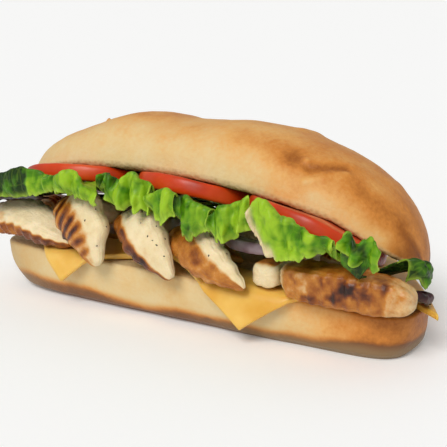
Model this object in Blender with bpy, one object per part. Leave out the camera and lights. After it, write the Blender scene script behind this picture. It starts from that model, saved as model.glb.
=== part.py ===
"""Submarine sandwich: a soft roll cut lengthways, its crown tilted open at the front over a filling
of cheese slices, grilled chicken strips, onion, lettuce leaves and tomato slices.

X runs along the roll, -Y is the open front and +Z is up. Lengths are in millimetres up to
add_body, which makes them metres. The finished sandwich stands on the middle of its base.
"""

import math

import bmesh
import bpy
import numpy as np

MM = 0.001
GAP = 0.3

# The lower half of the roll
HEEL_LEFT_LENGTH = 97.0
HEEL_RIGHT_LENGTH = 100.0
HEEL_HALF_WIDTH = 37.0
HEEL_SQUARENESS = (6.0, 2.7)
HEEL_FRONT_HEIGHT = 22.0
HEEL_BACK_HEIGHT = 18.5
HEEL_RIGHT_RISE = -2.6
HEEL_SWAY = 14.0
HEEL_SWAY_FROM = 52.0
HEEL_BASE_INSET = 6.4
HEEL_BASE_CURVE = 2.4
HEEL_END_INSETS = (1.5, 1.0)
HEEL_RIGHT_FULLNESS = 0.5
HEEL_LIP = 1.2

# The upper half of the roll, in its own frame: x along it, y to the back, z above the cut
CROWN_PLACE = (5.0, 4.0, 51.0)
CROWN_TILT = math.radians(18.0)
CROWN_HALF_LENGTHS = (99.0, 91.5)
CROWN_HALF_WIDTH = 37.5
CROWN_HEIGHT = 30.0
CROWN_SAG = 0.0013
CROWN_SAG_FROM = -20.0
CROWN_DROOP = 5.5
CROWN_DROOP_FROM = 58.0
CROWN_DROOP_REACH = 34.0
CROWN_PLAN_POWERS = (3.8, 3.1)
CROWN_RISE_POWERS = (2.1, 3.3)
CROWN_DOME_POWER = 2.6
CROWN_LIP = 1.4
# Swells and dips along the crown's top: place along it, reach and height
CROWN_SWELLS = (
    (-72.0, 18.0, -0.8),
    (-42.0, 16.0, 1.2),
    (-14.0, 14.0, -2.3),
    (28.0, 18.0, 1.1),
    (62.0, 16.0, 1.3),
)

# Fillings
CHEESE_THICKNESS = 2.4
CHEESE_FOLD_RADIUS = 3.0
CHEESE_GAP = 0.6
TOMATO_THICKNESS = 6.6
TOMATO_ROUNDING = 1.6
LEAF_THICKNESS = 0.9
UPPER_LEAF_DEPTH = 8.4
LOWER_LEAF_DEPTH = 10.0

# Each cheese slice: its corners laid flat, how far a corner may fold down, and how far it climbs
# onto its neighbour left of a given x
CHEESE_SLICES = {
    "cheese_front_left": (((-51, -50.5), (-92, -12), (-3, -9)), 78, None),
    "cheese_front_right": (((38, -54), (-20, -17), (76, -20)), 78, 0),
    "cheese_back_left": (((-38, 47), (-91, -4), (16, -5)), 70, None),
    "cheese_back_right": (((62, 45), (27, -5), (110, 0)), 4, None),
}

# Each chicken strip, as places along it: x, y, z, width, thickness and how far its broad face
# leans from up towards the front, in degrees
CHICKEN_STRIPS = {
    "chicken_a": (
        (-105, -27, 31.8, 12, 9, 20),
        (-92, -31, 32.6, 17, 10.5, 30),
        (-76, -35, 34.6, 17.5, 12, 35),
        (-61, -37.5, 31.6, 14, 8.6, 36),
        (-48.5, -37, 28.2, 9, 5, 34),
    ),
    "chicken_b": (
        (-70, 34, 26, 15, 8, 0),
        (-62, 8, 32, 20, 12.5, 0),
        (-54.5, -16, 37, 22, 13, 15),
        (-49.5, -35.0, 43.6, 19.5, 10.8, 52),
        (-37, -43.5, 37.5, 24, 11, 82),
        (-30.5, -45, 22.5, 13, 8, 88),
    ),
    "chicken_c": (
        (-42, 34, 26, 15, 8, 0),
        (-34, 8, 30.5, 18, 10, 0),
        (-26, -18, 35, 19, 12, 12),
        (-17, -35, 41, 18, 12, 45),
        (-5, -43.5, 36, 20, 11, 80),
        (7, -45, 23.5, 12, 8, 88),
    ),
    "chicken_d": (
        (-12, 34, 26, 15, 8, 0),
        (-5, 8, 30.5, 18, 10, 0),
        (2, -18, 33, 19, 12, 10),
        (9, -34, 38, 18, 12, 40),
        (23.5, -43, 33.5, 18, 11, 78),
        (41, -45.4, 25, 9, 6.4, 88),
    ),
    "chicken_e": (
        (46.6, -10, 29.6, 11, 8.5, 0),
        (46.4, -22, 30.2, 11, 9.2, 0),
        (46.2, -32, 30, 11, 9.6, 0),
        (46, -41, 29.8, 11, 9.6, 0),
    ),
    "chicken_f": (
        (53, -35.5, 30.4, 13, 12.6, 6),
        (64, -36, 29.8, 13.5, 14.6, 9),
        (78, -35, 29.2, 14, 15.6, 7),
        (94, -34, 28.6, 13.5, 14.2, 3),
        (105.5, -32, 26.6, 11, 9.6, 0),
    ),
    "chicken_g": (
        (12, 33, 25.4, 14, 7.5, 0),
        (15.5, 13, 29.5, 19, 11, 0),
        (20, -5, 31.8, 19, 12, 0),
    ),
    "chicken_h": (
        (50, 31, 25, 14, 6, 0),
        (55, 14, 27.4, 19, 8, 0),
        (61, -6, 29, 17, 8.5, 0),
    ),
    "chicken_i": (
        (-86, 22, 25.4, 13, 7, 0),
        (-86, 4, 29.5, 17, 11.5, 0),
        (-85, -14.5, 33, 17, 16.5, 0),
    ),
}
# Strips cut square, and how the others and these round off: the power of their ends, then of
# their sections
SQUARE_STRIPS = ("chicken_e", "chicken_f")
STRIP_POWERS = ((5.0, 0.75), (14.0, 0.55))

# Each tomato slice in the crown's frame: centre x and y, half length and half width
TOMATO_SLICES = {
    "tomato_left": (-61.0, -14.5, 30.0, 30.0),
    "tomato_middle": (-3.5, -15.5, 26.5, 29.5),
    "tomato_right": (51.5, -16.5, 27.5, 29.0),
}

# Each front leaf: its x range inside the filling, how far back it starts in the crown's frame,
# whether it lies in the upper layer, where its front hangs at its left and right, its ruffle and
# the number of ruffles, then its outline along the front as x, crest and hem
FRONT_LEAVES = {
    "lettuce_1": (
        (-99, -53.3), -15, False, (-46, -46), 0.8, 1.5,
        ((-99, 50, 43.5), (-88, 54.5, 45), (-78, 57, 46.5), (-68.5, 60.3, 47.5), (-53.4, 58, 51.5)),
    ),
    "lettuce_2": (
        (-52.7, -33.4), 8, True, (-50.8, -51), 1.2, 2.5,
        ((-52.7, 58.5, 53), (-45, 61, 54), (-39, 63.5, 53), (-32.5, 59.5, 52.5), (-25, 54.5, 50)),
    ),
    "lettuce_3": (
        (-29, -2), 8, False, (-44, -47.5), 1.5, 3.5,
        ((-29.4, 61, 56), (-24, 62.5, 54.5), (-17, 60, 50), (-10.5, 65, 51), (-1.5, 60.8, 49.5)),
    ),
    "lettuce_4": (
        (-1.4, 11), 8, True, (-51, -51), 1.2, 1.0,
        ((-0.6, 57, 52.5), (4, 59.8, 48.3), (9, 61.6, 48.6), (12.8, 60, 52)),
    ),
    "lettuce_5": (
        (11.7, 27), 8, False, (-48, -48), 1.2, 1.5,
        ((10.6, 58, 50), (15, 58.6, 42.6), (20, 57.4, 43), (26.6, 54.6, 47)),
    ),
    "lettuce_6": (
        (27.6, 41.6), 8, False, (-50.5, -46), 1.4, 2.0,
        ((27.2, 52.5, 48.5), (31, 57, 44.6), (37, 58.8, 46), (43.6, 62.5, 51.5)),
    ),
    "lettuce_7": (
        (44.4, 79), -20, True, (-52, -50), 1.3, 2.5,
        ((46, 57.5, 53), (51, 63.5, 47), (58, 58.6, 40.2), (68, 54, 43), (80.6, 51, 48)),
    ),
    "lettuce_8": (
        (80.8, 89.5), -38, True, (-50, -48), 1.3, 2.0,
        ((82.8, 51, 48), (85.7, 53.8, 47), (88.6, 50, 44.2), (93.5, 53.6, 43.4), (98, 49, 44.5)),
    ),
}

# Each back leaf in the crown's frame: left and right x, how far back it reaches, how far its hem
# drops there and its ruffle
BACK_LEAVES = {
    "lettuce_back_left": (-85, -31.5, 45, 12, 1.2),
    "lettuce_back_middle": (-30.5, 23, 46, 12, 1.2),
    "lettuce_back_right": (24, 62, 42, 2.5, 0.6),
}

# The leaves at the ends: x inside and outside, y at the front and back, the depth under the crown,
# how far the leaf rises to its outer edge and hangs down there, the ruffle and the material
END_LEAVES = {
    "lettuce_right_end": (84, 104.5, -27, -12, 9.8, 7.5, 8.0, 1.4, "lettuce"),
    "red_leaf_right_end": (84, 104.5, -25, -11, 13.8, 0.0, 3.5, 0.4, "red leaf"),
    "red_leaf_left_end": (-80, -101, -33, -15.5, 11.6, -4.0, 0.6, 0.4, "red leaf"),
}

# Each onion piece, an arc of a ring lying flat: its radius, and the places of all
ONION_RADII = {"onion_outer": 20.0, "onion_inner": 16.6}
ONION_CENTRE = (37.0, -15.0, 38.6)
ONION_ARC = (math.radians(200), math.radians(338))
ONION_WIDTH = 2.6
ONION_HEIGHT = 4.8

COLOURS = {
    "crust": ((0.76, 0.53, 0.27), 0.6),
    "cheese": ((0.83, 0.53, 0.12), 0.4),
    "chicken": ((0.68, 0.46, 0.26), 0.45),
    "tomato": ((0.58, 0.06, 0.02), 0.25),
    "lettuce": ((0.20, 0.42, 0.03), 0.4),
    "red leaf": ((0.09, 0.02, 0.03), 0.4),
    "onion": ((0.55, 0.42, 0.45), 0.35),
}


def clear_scene():
    for item in list(bpy.data.objects):
        bpy.data.objects.remove(item)


def material(name):
    """The part's material of this name, made at its first use."""
    found = bpy.data.materials.get(name)
    if found:
        return found
    colour, roughness = COLOURS[name]
    made = bpy.data.materials.new(name)
    made.use_nodes = True
    shader = made.node_tree.nodes["Principled BSDF"]
    shader.inputs["Base Color"].default_value = (*colour, 1.0)
    shader.inputs["Roughness"].default_value = roughness
    return made


def add_body(name, points, faces, material_name):
    """A closed smooth-shaded mesh object from points in millimetres."""
    mesh = bpy.data.meshes.new(name)
    mesh.from_pydata((np.asarray(points, float) * MM).tolist(), [], faces)
    work = bmesh.new()
    work.from_mesh(mesh)
    if work.calc_volume(signed=True) < 0:
        bmesh.ops.reverse_faces(work, faces=work.faces)
    work.to_mesh(mesh)
    work.free()
    mesh.shade_smooth()
    mesh.set_sharp_from_angle(angle=math.radians(50))
    mesh.materials.append(material(material_name))
    body = bpy.data.objects.new(name, mesh)
    bpy.context.scene.collection.objects.link(body)
    return body


def loft(rings, poles=()):
    """Points and faces of rings joined in turn, closed by a pole or by one flat face at each end."""
    rings = np.asarray(rings, float)
    count, around, _ = rings.shape
    points = rings.reshape(-1, 3).tolist()
    faces = []
    for ring in range(count - 1):
        for i in range(around):
            j = (i + 1) % around
            low = ring * around
            faces.append((low + i, low + j, low + around + j, low + around + i))
    last = (count - 1) * around
    if not len(poles):
        faces.append(tuple(range(around))[::-1])
        faces.append(tuple(range(last, last + around)))
        return points, faces
    for pole, start, step in zip(poles, (0, last), (-1, 1)):
        points.append(tuple(pole))
        for i in range(around):
            pair = (start + i, start + (i + 1) % around)[::step]
            faces.append((*pair, len(points) - 1))
    return points, faces


def smooth_rows(rows, count):
    """Rows of numbers made into a smooth run of count rows, by a Catmull-Rom curve through them."""
    rows = np.asarray(rows, float)
    padded = np.vstack([2 * rows[0] - rows[1], rows, 2 * rows[-1] - rows[-2]])
    steps = np.linalg.norm(np.diff(rows[:, :3], axis=0), axis=1)
    at = np.concatenate([[0.0], np.cumsum(steps)]) / steps.sum()
    out = []
    for value in np.linspace(0, 1, count):
        i = min(int(np.searchsorted(at, value, side="right")) - 1, len(rows) - 2)
        t = (value - at[i]) / (at[i + 1] - at[i])
        before, start, end, after = padded[i : i + 4]
        out.append(
            0.5
            * (
                2 * start
                + (end - before) * t
                + (2 * before - 5 * start + 4 * end - after) * t**2
                + (3 * start - before - 3 * end + after) * t**3
            )
        )
    return np.array(out)


def outline(lengths, half_width, powers, count):
    """An evenly stepped superellipse in plan, anticlockwise from the right end.

    lengths and powers are for the left half and the right half.
    """
    turn = np.linspace(0, 2 * math.pi, 2881)
    left = np.cos(turn) < 0
    power = np.where(left, powers[0], powers[1])
    reach = np.where(left, -lengths[0], lengths[1])
    x = reach * np.abs(np.cos(turn)) ** (2 / power)
    y = half_width * np.sign(np.sin(turn)) * np.abs(np.sin(turn)) ** (2 / power)
    length = np.concatenate([[0], np.cumsum(np.hypot(np.diff(x), np.diff(y)))])
    at = np.linspace(0, length[-1], count, endpoint=False)
    return np.stack([np.interp(at, length, x), np.interp(at, length, y)], axis=1)


def ease(value):
    """0 below 0, 1 above 1 and a smooth step between."""
    value = np.clip(value, 0, 1)
    return value * value * (3 - 2 * value)


def heel_top(x, y):
    """Height of the heel's cut face, which falls to the back and to the right."""
    back = np.clip((np.asarray(y) + HEEL_HALF_WIDTH) / (2 * HEEL_HALF_WIDTH), 0, 1)
    rise = HEEL_RIGHT_RISE * ease(np.asarray(x) / HEEL_RIGHT_LENGTH)
    return HEEL_FRONT_HEIGHT + (HEEL_BACK_HEIGHT - HEEL_FRONT_HEIGHT) * back + rise


def heel_sway(x):
    """How far the heel bends to the front at a place along it."""
    past = np.maximum(0, np.asarray(x) - HEEL_SWAY_FROM) / (HEEL_RIGHT_LENGTH - HEEL_SWAY_FROM)
    return HEEL_SWAY * past**2


def crown_droop(x):
    """How far the crown's right end hangs lower than its sagging curve."""
    return CROWN_DROOP * ease((np.asarray(x, float) - CROWN_DROOP_FROM) / CROWN_DROOP_REACH)


def crown_place(x, y, z):
    """A place in the crown's own frame, sagged and tilted into the sandwich's."""
    x, y, z = np.broadcast_arrays(*(np.asarray(value, float) for value in (x, y, z)))
    z = z - CROWN_SAG * (x - CROWN_SAG_FROM) ** 2 - crown_droop(x)
    turned_y = y * math.cos(CROWN_TILT) + z * math.sin(CROWN_TILT)
    turned_z = z * math.cos(CROWN_TILT) - y * math.sin(CROWN_TILT)
    return np.stack([x, turned_y, turned_z], axis=-1) + CROWN_PLACE


def under_crown(x, y, depth):
    """Height of the place this deep under the crown's cut face, at x and y of the sandwich."""
    along = x - CROWN_PLACE[0]
    z = -depth - CROWN_SAG * (along - CROWN_SAG_FROM) ** 2 - crown_droop(along)
    across = (y - CROWN_PLACE[1] - z * math.sin(CROWN_TILT)) / math.cos(CROWN_TILT)
    return CROWN_PLACE[2] + z * math.cos(CROWN_TILT) - across * math.sin(CROWN_TILT)


def heel_outline(inset, count):
    """The heel's plan outline, drawn in by an inset."""
    lengths = (
        HEEL_LEFT_LENGTH - inset * HEEL_END_INSETS[0],
        HEEL_RIGHT_LENGTH - inset * HEEL_END_INSETS[1],
    )
    return outline(lengths, HEEL_HALF_WIDTH - inset, HEEL_SQUARENESS, count)


def make_heel():
    rings = []
    around = 52
    middle = (2.0, 14.0, 26.0)
    side = (0.0, 0.05, 0.16, 0.32, 0.5, 0.7, 0.9)

    def ring(inset, share):
        inner = heel_outline(inset, around)
        outer = heel_outline(0.0, around)
        fullness = 0.0 if share == 1.0 or inset > HEEL_HALF_WIDTH / 2 else HEEL_RIGHT_FULLNESS
        keep = fullness * ease(outer[:, :1] / HEEL_RIGHT_LENGTH)
        x, y = (inner + (outer - inner) * keep).T
        rings.append(np.stack([x, y - heel_sway(x), share * heel_top(x, y)], axis=1))

    for left in middle:
        ring(HEEL_HALF_WIDTH - left, 0.0)
    for share in side:
        foot = 2.5 * max(0.0, 1 - share / 0.12)
        ring(HEEL_BASE_INSET * (1 - share) ** HEEL_BASE_CURVE + foot, share)
    ring(HEEL_LIP, 1.0)
    for left in middle[::-1]:
        ring(HEEL_HALF_WIDTH - left, 1.0)
    add_body("heel", *loft(rings), "crust")


def crown_section(share):
    """The crown's x, half width and height at a share, -1 to 1, of its half length."""
    side = 0 if share < 0 else 1
    place = share * CROWN_HALF_LENGTHS[side]
    width = (1 - abs(share) ** CROWN_PLAN_POWERS[side]) ** 0.5
    height = (1 - abs(share) ** CROWN_RISE_POWERS[side]) ** 0.5
    swell = sum(tall * math.exp(-(((place - at) / reach) ** 2)) for at, reach, tall in CROWN_SWELLS)
    droop = crown_droop(place) * (1 - abs(share) ** 14) ** 0.5
    return place, CROWN_HALF_WIDTH * width, height * (CROWN_HEIGHT + swell) + droop


def make_crown():
    across = np.array((0.66, 0.33, 0.0, -0.33, -0.66))
    turn = np.linspace(0, math.pi, 17)
    rings = []
    for share in np.sin(np.linspace(-1.42, 1.42, 25)):
        x, width, height = crown_section(share)
        lip = min(CROWN_LIP, height * 0.2)
        dome_y = -width * np.cos(turn)
        dome_z = lip + (height - lip) * np.sin(turn) ** (2 / CROWN_DOME_POWER)
        flat_y = np.concatenate([[width - lip], width * across, [lip - width]])
        y = np.concatenate([dome_y, flat_y])
        z = np.concatenate([dome_z, np.zeros(len(flat_y))])
        rings.append(crown_place(x, y, z))
    left, right = CROWN_HALF_LENGTHS
    poles = [crown_place(x, 0, CROWN_LIP / 2) for x in (-left, right)]
    add_body("crown", *loft(rings, poles), "crust")


def heel_edge(x, y):
    """The nearest place on the heel's plan outline to a place outside it."""
    power = HEEL_SQUARENESS[int(x > 0)]
    half = np.array([HEEL_LEFT_LENGTH if x < 0 else HEEL_RIGHT_LENGTH, HEEL_HALF_WIDTH])
    place = np.array([x, y], float)
    for _ in range(6):
        ratio = np.abs(place) / half
        value = (ratio**power).sum() ** (1 / power)
        slope = np.sign(place) * ratio ** (power - 1) / half * value ** (1 - power)
        place = place - (value - 1) * slope / (slope @ slope)
    return place


def fold_over_heel(x, y, lift, fold):
    """A flat place on the heel's cut face, folded down where it lies past the edge."""
    half_length = HEEL_LEFT_LENGTH if x < 0 else HEEL_RIGHT_LENGTH
    power = HEEL_SQUARENESS[int(x > 0)]
    if (abs(x) / half_length) ** power + (abs(y) / HEEL_HALF_WIDTH) ** power <= 1:
        return x, y - float(heel_sway(x)), float(heel_top(x, y)) + lift
    edge = heel_edge(x, y)
    past = math.hypot(x - edge[0], y - edge[1])
    out = np.array([x - edge[0], y - edge[1]]) / max(past, 1e-9)
    flat = past * CHEESE_FOLD_RADIUS / (CHEESE_FOLD_RADIUS + CHEESE_THICKNESS / 2)
    turn = min(flat / CHEESE_FOLD_RADIUS, fold)
    radius = CHEESE_FOLD_RADIUS + lift
    rest = max(0.0, past - turn * (CHEESE_FOLD_RADIUS + CHEESE_THICKNESS / 2))
    reach = radius * math.sin(turn) + rest * math.cos(turn)
    drop = radius * (1 - math.cos(turn)) + rest * math.sin(turn)
    place = edge + out * reach
    height = float(heel_top(*edge)) + lift - drop
    return place[0], place[1] - float(heel_sway(place[0])), height


def corner_grid(steps):
    """Rows of shares of a triangle's three corners, and the triangles between them."""
    shares, index, faces = [], {}, []
    for i in range(steps + 1):
        for j in range(steps + 1 - i):
            index[i, j] = len(shares)
            shares.append((1 - (i + j) / steps, i / steps, j / steps))
    for i, j in index:
        if i + j < steps:
            faces.append((index[i, j], index[i + 1, j], index[i, j + 1]))
        if i + j < steps - 1:
            faces.append((index[i + 1, j], index[i + 1, j + 1], index[i, j + 1]))
    rim = [index[i, 0] for i in range(steps)]
    rim += [index[steps - i, i] for i in range(steps)]
    rim += [index[0, steps - i] for i in range(steps)]
    return np.array(shares), faces, rim


def make_cheese():
    shares, faces, rim = corner_grid(9)
    count = len(shares)
    for name, (corners, fold, climb_before) in CHEESE_SLICES.items():
        flat = shares @ np.array(corners, float)
        points = []
        for side in (0.0, CHEESE_THICKNESS):
            for x, y in flat:
                lift = CHEESE_GAP + side
                if climb_before is not None:
                    over = 1 - ease((x - climb_before) / 16)
                    lift += (CHEESE_THICKNESS + GAP) * over
                points.append(fold_over_heel(x, y, lift, math.radians(fold)))
        solid = [face[::-1] for face in faces]
        solid += [tuple(i + count for i in face) for face in faces]
        for i, j in zip(rim, rim[1:] + rim[:1]):
            solid.append((i, j, j + count))
            solid.append((i, j + count, i + count))
        add_body(name, points, solid, "cheese")


def make_strip(name, rows):
    """A chicken strip: a rounded-off flat section carried along its curve, blunt at both ends."""
    end_power, section_power = STRIP_POWERS[name in SQUARE_STRIPS]
    turn = np.linspace(0, 2 * math.pi, 12, endpoint=False)
    section_x = np.sign(np.cos(turn)) * np.abs(np.cos(turn)) ** section_power
    section_z = np.sign(np.sin(turn)) * np.abs(np.sin(turn)) ** section_power
    line = smooth_rows(rows, 13)
    ahead = np.gradient(line[:, :3], axis=0)
    ahead /= np.linalg.norm(ahead, axis=1)[:, None]
    shares = np.linspace(-1, 1, len(line))
    rings = []
    for place, along, share in zip(line[1:-1], ahead[1:-1], shares[1:-1]):
        lean = math.radians(place[5])
        across = np.cross(along, (0, -math.sin(lean), math.cos(lean)))
        across /= np.linalg.norm(across)
        face = np.cross(across, along)
        blunt = (1 - abs(share) ** end_power) ** 0.45
        uneven = 1 + 0.06 * math.sin(7 * share + place[0])
        wide = place[3] / 2 * blunt * uneven
        thick = place[4] / 2 * blunt
        rings.append(place[:3] + np.outer(section_x * wide, across) + np.outer(section_z * thick, face))
    add_body(name, *loft(rings, (line[0, :3], line[-1, :3])), "chicken")


def make_tomatoes():
    deep = TOMATO_THICKNESS
    round_off = TOMATO_ROUNDING
    profile = (
        (0.25, -deep),
        (0.55, -deep),
        (0.82, -deep),
        (1 - round_off / 30, -deep),
        (1.0, -deep * 0.68),
        (1.0, -deep * 0.32),
        (1 - round_off / 30, 0.0),
        (0.82, 0.0),
        (0.55, 0.0),
        (0.25, 0.0),
    )
    for name, (x, y, half_length, half_width) in TOMATO_SLICES.items():
        flat = outline((half_length, half_length), half_width, (2.15, 2.15), 28)
        rings = [
            crown_place(x + flat[:, 0] * wide, y + flat[:, 1] * wide, z - 1.2 * GAP)
            for wide, z in profile
        ]
        add_body(name, *loft(rings), "tomato")


def add_sheet(name, grid, thickness, material_name):
    """A thin solid round a grid of places, with both faces split into triangles alike."""
    down = np.gradient(grid, axis=0)
    over = np.gradient(grid, axis=1)
    normal = np.cross(down, over)
    normal /= np.linalg.norm(normal, axis=2)[:, :, None]
    rows, columns, _ = grid.shape
    count = rows * columns
    points = np.concatenate(
        [(grid + side * thickness / 2 * normal).reshape(-1, 3) for side in (-1, 1)]
    )
    faces = []
    for i in range(rows - 1):
        for j in range(columns - 1):
            a = i * columns + j
            b, c, d = a + 1, a + columns + 1, a + columns
            for face in ((a, b, c), (a, c, d)):
                faces.append(face[::-1])
                faces.append(tuple(k + count for k in face))
    rim = [j for j in range(columns)]
    rim += [i * columns + columns - 1 for i in range(1, rows)]
    rim += [(rows - 1) * columns + j for j in range(columns - 2, -1, -1)]
    rim += [i * columns for i in range(rows - 2, 0, -1)]
    for i, j in zip(rim, rim[1:] + rim[:1]):
        faces.append((i, j, j + count))
        faces.append((i, j + count, i + count))
    add_body(name, points, faces, material_name)


def make_front_leaf(name, inside, back, upper, fronts, ruffle, waves, outline_rows):
    """A leaf that lies flat in the filling, turns up at the front to its crest and hangs to its hem."""
    depth = UPPER_LEAF_DEPTH if upper else LOWER_LEAF_DEPTH
    columns, rows = 13, 10
    grid = np.zeros((rows, columns, 3))
    edges = smooth_rows(outline_rows, columns)
    for j, (share, (x, crest, hem)) in enumerate(zip(np.linspace(0, 1, columns), edges)):
        along = inside[0] + (inside[1] - inside[0]) * share - CROWN_PLACE[0]
        front = fronts[0] + (fronts[1] - fronts[0]) * share
        flat = [crown_place(along, y, -depth) for y in np.linspace(back, -43, 4)]
        hang = [(x, front + 1.0, crest), (x, front, 0.5 * (crest + hem)), (x, front + 1.5, hem)]
        for i, place in enumerate(smooth_rows(flat + hang, rows)):
            loose = ease((i / (rows - 1) - 0.45) / 0.4)
            wave = math.sin(waves * 2 * math.pi * share + 0.7 * i)
            grid[i, j] = place + np.array((0.0, ruffle * (wave - 0.6) * loose, 0.0))
    add_sheet(name, grid, LEAF_THICKNESS, "lettuce")


def make_back_leaf(name, left, right, reach, drop, ruffle):
    """A leaf laid flat under the crown that comes out at the back and hangs there."""
    columns, rows = 11, 7
    grid = np.zeros((rows, columns, 3))
    for j, share in enumerate(np.linspace(0, 1, columns)):
        bow = 1 - 0.12 * (2 * share - 1) ** 4
        x = left + (right - left) * share
        path = [(x, 17.5, -3.8), (x, 28, -4.2), (x, 37, -4.2 - 0.2 * drop)]
        path += [(x, reach * bow, -4.2 - 0.5 * drop), (x, reach * bow + 1, -4.2 - drop)]
        for i, (_, y, z) in enumerate(smooth_rows(path, rows)):
            wave = ruffle * ease((i / (rows - 1) - 0.4) / 0.4) * math.sin(6 * math.pi * share)
            grid[i, j] = crown_place(x, y + wave, z)
    add_sheet(name, grid, LEAF_THICKNESS, "lettuce")


def make_end_leaf(name, inner, outer, front, back, depth, rise, hang, ruffle, material_name):
    """A leaf that comes out under an end of the crown and hangs down at its outer edge."""
    columns, rows = 9, 8
    grid = np.zeros((rows, columns, 3))
    for j, share in enumerate(np.linspace(0, 1, columns)):
        y = front + (back - front) * share
        far = outer + (inner - outer) * 0.25 * (2 * share - 1) ** 4
        low = under_crown(inner, y, depth)
        wave = ruffle * math.sin(4 * math.pi * share)
        path = [(inner, y, low), ((inner + far) / 2, y, low + 0.55 * rise + 0.4 * wave)]
        path += [(far, y, low + rise + wave), (far, y, low + rise + wave - hang)]
        grid[:, j] = smooth_rows(path, rows)
    add_sheet(name, grid, LEAF_THICKNESS, material_name)


def make_onion():
    turn = np.linspace(0, 2 * math.pi, 8, endpoint=False)
    for name, radius in ONION_RADII.items():
        arc = np.linspace(*ONION_ARC, 15)
        centre = np.array(ONION_CENTRE)
        rings = []
        for i, angle in enumerate(arc):
            outward = np.array((math.cos(angle), math.sin(angle), 0.0))
            taper = 0.7 if i in (0, len(arc) - 1) else 1.0
            wide = 0.5 * ONION_WIDTH * taper * np.cos(turn)
            high = 0.5 * ONION_HEIGHT * taper * np.sin(turn)
            middle = centre + outward * radius + (0, 0, 0.5 * math.sin(3 * angle))
            rings.append(middle + np.outer(wide, outward) + np.outer(high, (0, 0, 1)))
        add_body(name, *loft(rings), "onion")


def make_leaves():
    for name, values in FRONT_LEAVES.items():
        make_front_leaf(name, *values)
    for name, values in BACK_LEAVES.items():
        make_back_leaf(name, *values)
    for name, values in END_LEAVES.items():
        make_end_leaf(name, *values)


def centre_on_base():
    """Moves every mesh so that the whole stands on the middle of its base at the origin."""
    bodies = [item for item in bpy.data.objects if item.type == "MESH"]
    corners = np.array([corner for body in bodies for corner in body.bound_box])
    low, high = corners.min(axis=0), corners.max(axis=0)
    shift = ((low[0] + high[0]) / 2, (low[1] + high[1]) / 2, low[2])
    for body in bodies:
        for vertex in body.data.vertices:
            vertex.co.x -= shift[0]
            vertex.co.y -= shift[1]
            vertex.co.z -= shift[2]


def main():
    clear_scene()
    make_heel()
    make_crown()
    make_cheese()
    for name, rows in CHICKEN_STRIPS.items():
        make_strip(name, rows)
    make_onion()
    make_tomatoes()
    make_leaves()
    centre_on_base()


main()
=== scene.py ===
"""Looks of the submarine sandwich: its bread, fillings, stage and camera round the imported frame.

Lengths are in millimetres in the roll's own frame, where X runs along the roll, -Y is the open front
and +Z is up. to_scene() moves them onto the frame and makes them metres.
"""

import math

import bmesh
import bpy
import numpy as np
from mathutils import Matrix, Vector


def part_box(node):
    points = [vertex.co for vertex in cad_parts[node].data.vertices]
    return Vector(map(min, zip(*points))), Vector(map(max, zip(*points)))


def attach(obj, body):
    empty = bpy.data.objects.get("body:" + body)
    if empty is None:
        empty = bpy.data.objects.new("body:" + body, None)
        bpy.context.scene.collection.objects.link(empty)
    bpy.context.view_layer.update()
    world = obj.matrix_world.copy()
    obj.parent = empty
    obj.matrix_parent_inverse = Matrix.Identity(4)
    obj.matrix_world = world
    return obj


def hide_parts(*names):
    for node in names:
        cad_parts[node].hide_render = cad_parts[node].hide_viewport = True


bl_info = {
    "name": "Submarine sandwich",
    "version": (1, 0, 0),
    "blender": (4, 5, 0),
    "location": "View3D > Sidebar > Sandwich",
    "description": "Makes a filled submarine sandwich and its studio stage",
    "category": "Add Mesh",
}

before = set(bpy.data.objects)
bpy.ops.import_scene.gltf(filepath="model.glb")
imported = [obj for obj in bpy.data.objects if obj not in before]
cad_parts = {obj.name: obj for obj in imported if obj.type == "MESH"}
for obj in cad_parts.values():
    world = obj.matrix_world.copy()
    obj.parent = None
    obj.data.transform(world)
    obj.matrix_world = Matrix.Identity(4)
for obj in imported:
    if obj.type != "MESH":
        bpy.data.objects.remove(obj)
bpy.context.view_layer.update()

MM = 0.001
GAP = 0.3
BODY = "root"

# The lower half of the roll
HEEL_LENGTHS = (97.0, 100.0)
HEEL_HALF_WIDTH = 37.0
HEEL_SQUARENESS = (6.0, 2.7)
HEEL_FRONT_HEIGHT = 22.0
HEEL_BACK_HEIGHT = 18.5
HEEL_RIGHT_RISE = -2.6
HEEL_SWAY = 14.0
HEEL_SWAY_FROM = 52.0
HEEL_BASE_INSET = 6.4
HEEL_BASE_CURVE = 2.4
HEEL_END_INSETS = (1.5, 1.0)
HEEL_RIGHT_FULLNESS = 0.5
HEEL_LIP = 1.2

# The upper half of the roll, in its own frame: x along it, y to the back, z above the cut
CROWN_PLACE = (5.0, 4.0, 51.0)
CROWN_TILT = math.radians(18.0)
CROWN_HALF_LENGTHS = (99.0, 91.5)
CROWN_HALF_WIDTH = 37.5
CROWN_HEIGHT = 30.0
CROWN_SAG = 0.0013
CROWN_SAG_FROM = -20.0
CROWN_DROOP = 5.5
CROWN_DROOP_FROM = 58.0
CROWN_DROOP_REACH = 34.0
CROWN_PLAN_POWERS = (3.8, 3.1)
CROWN_RISE_POWERS = (2.1, 3.3)
CROWN_DOME_POWER = 2.6
CROWN_LIP = 1.4
CROWN_SWELLS = (
    (-72.0, 18.0, -0.8),
    (-42.0, 16.0, 1.2),
    (-14.0, 14.0, -2.3),
    (28.0, 18.0, 1.1),
    (62.0, 16.0, 1.3),
)

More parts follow.
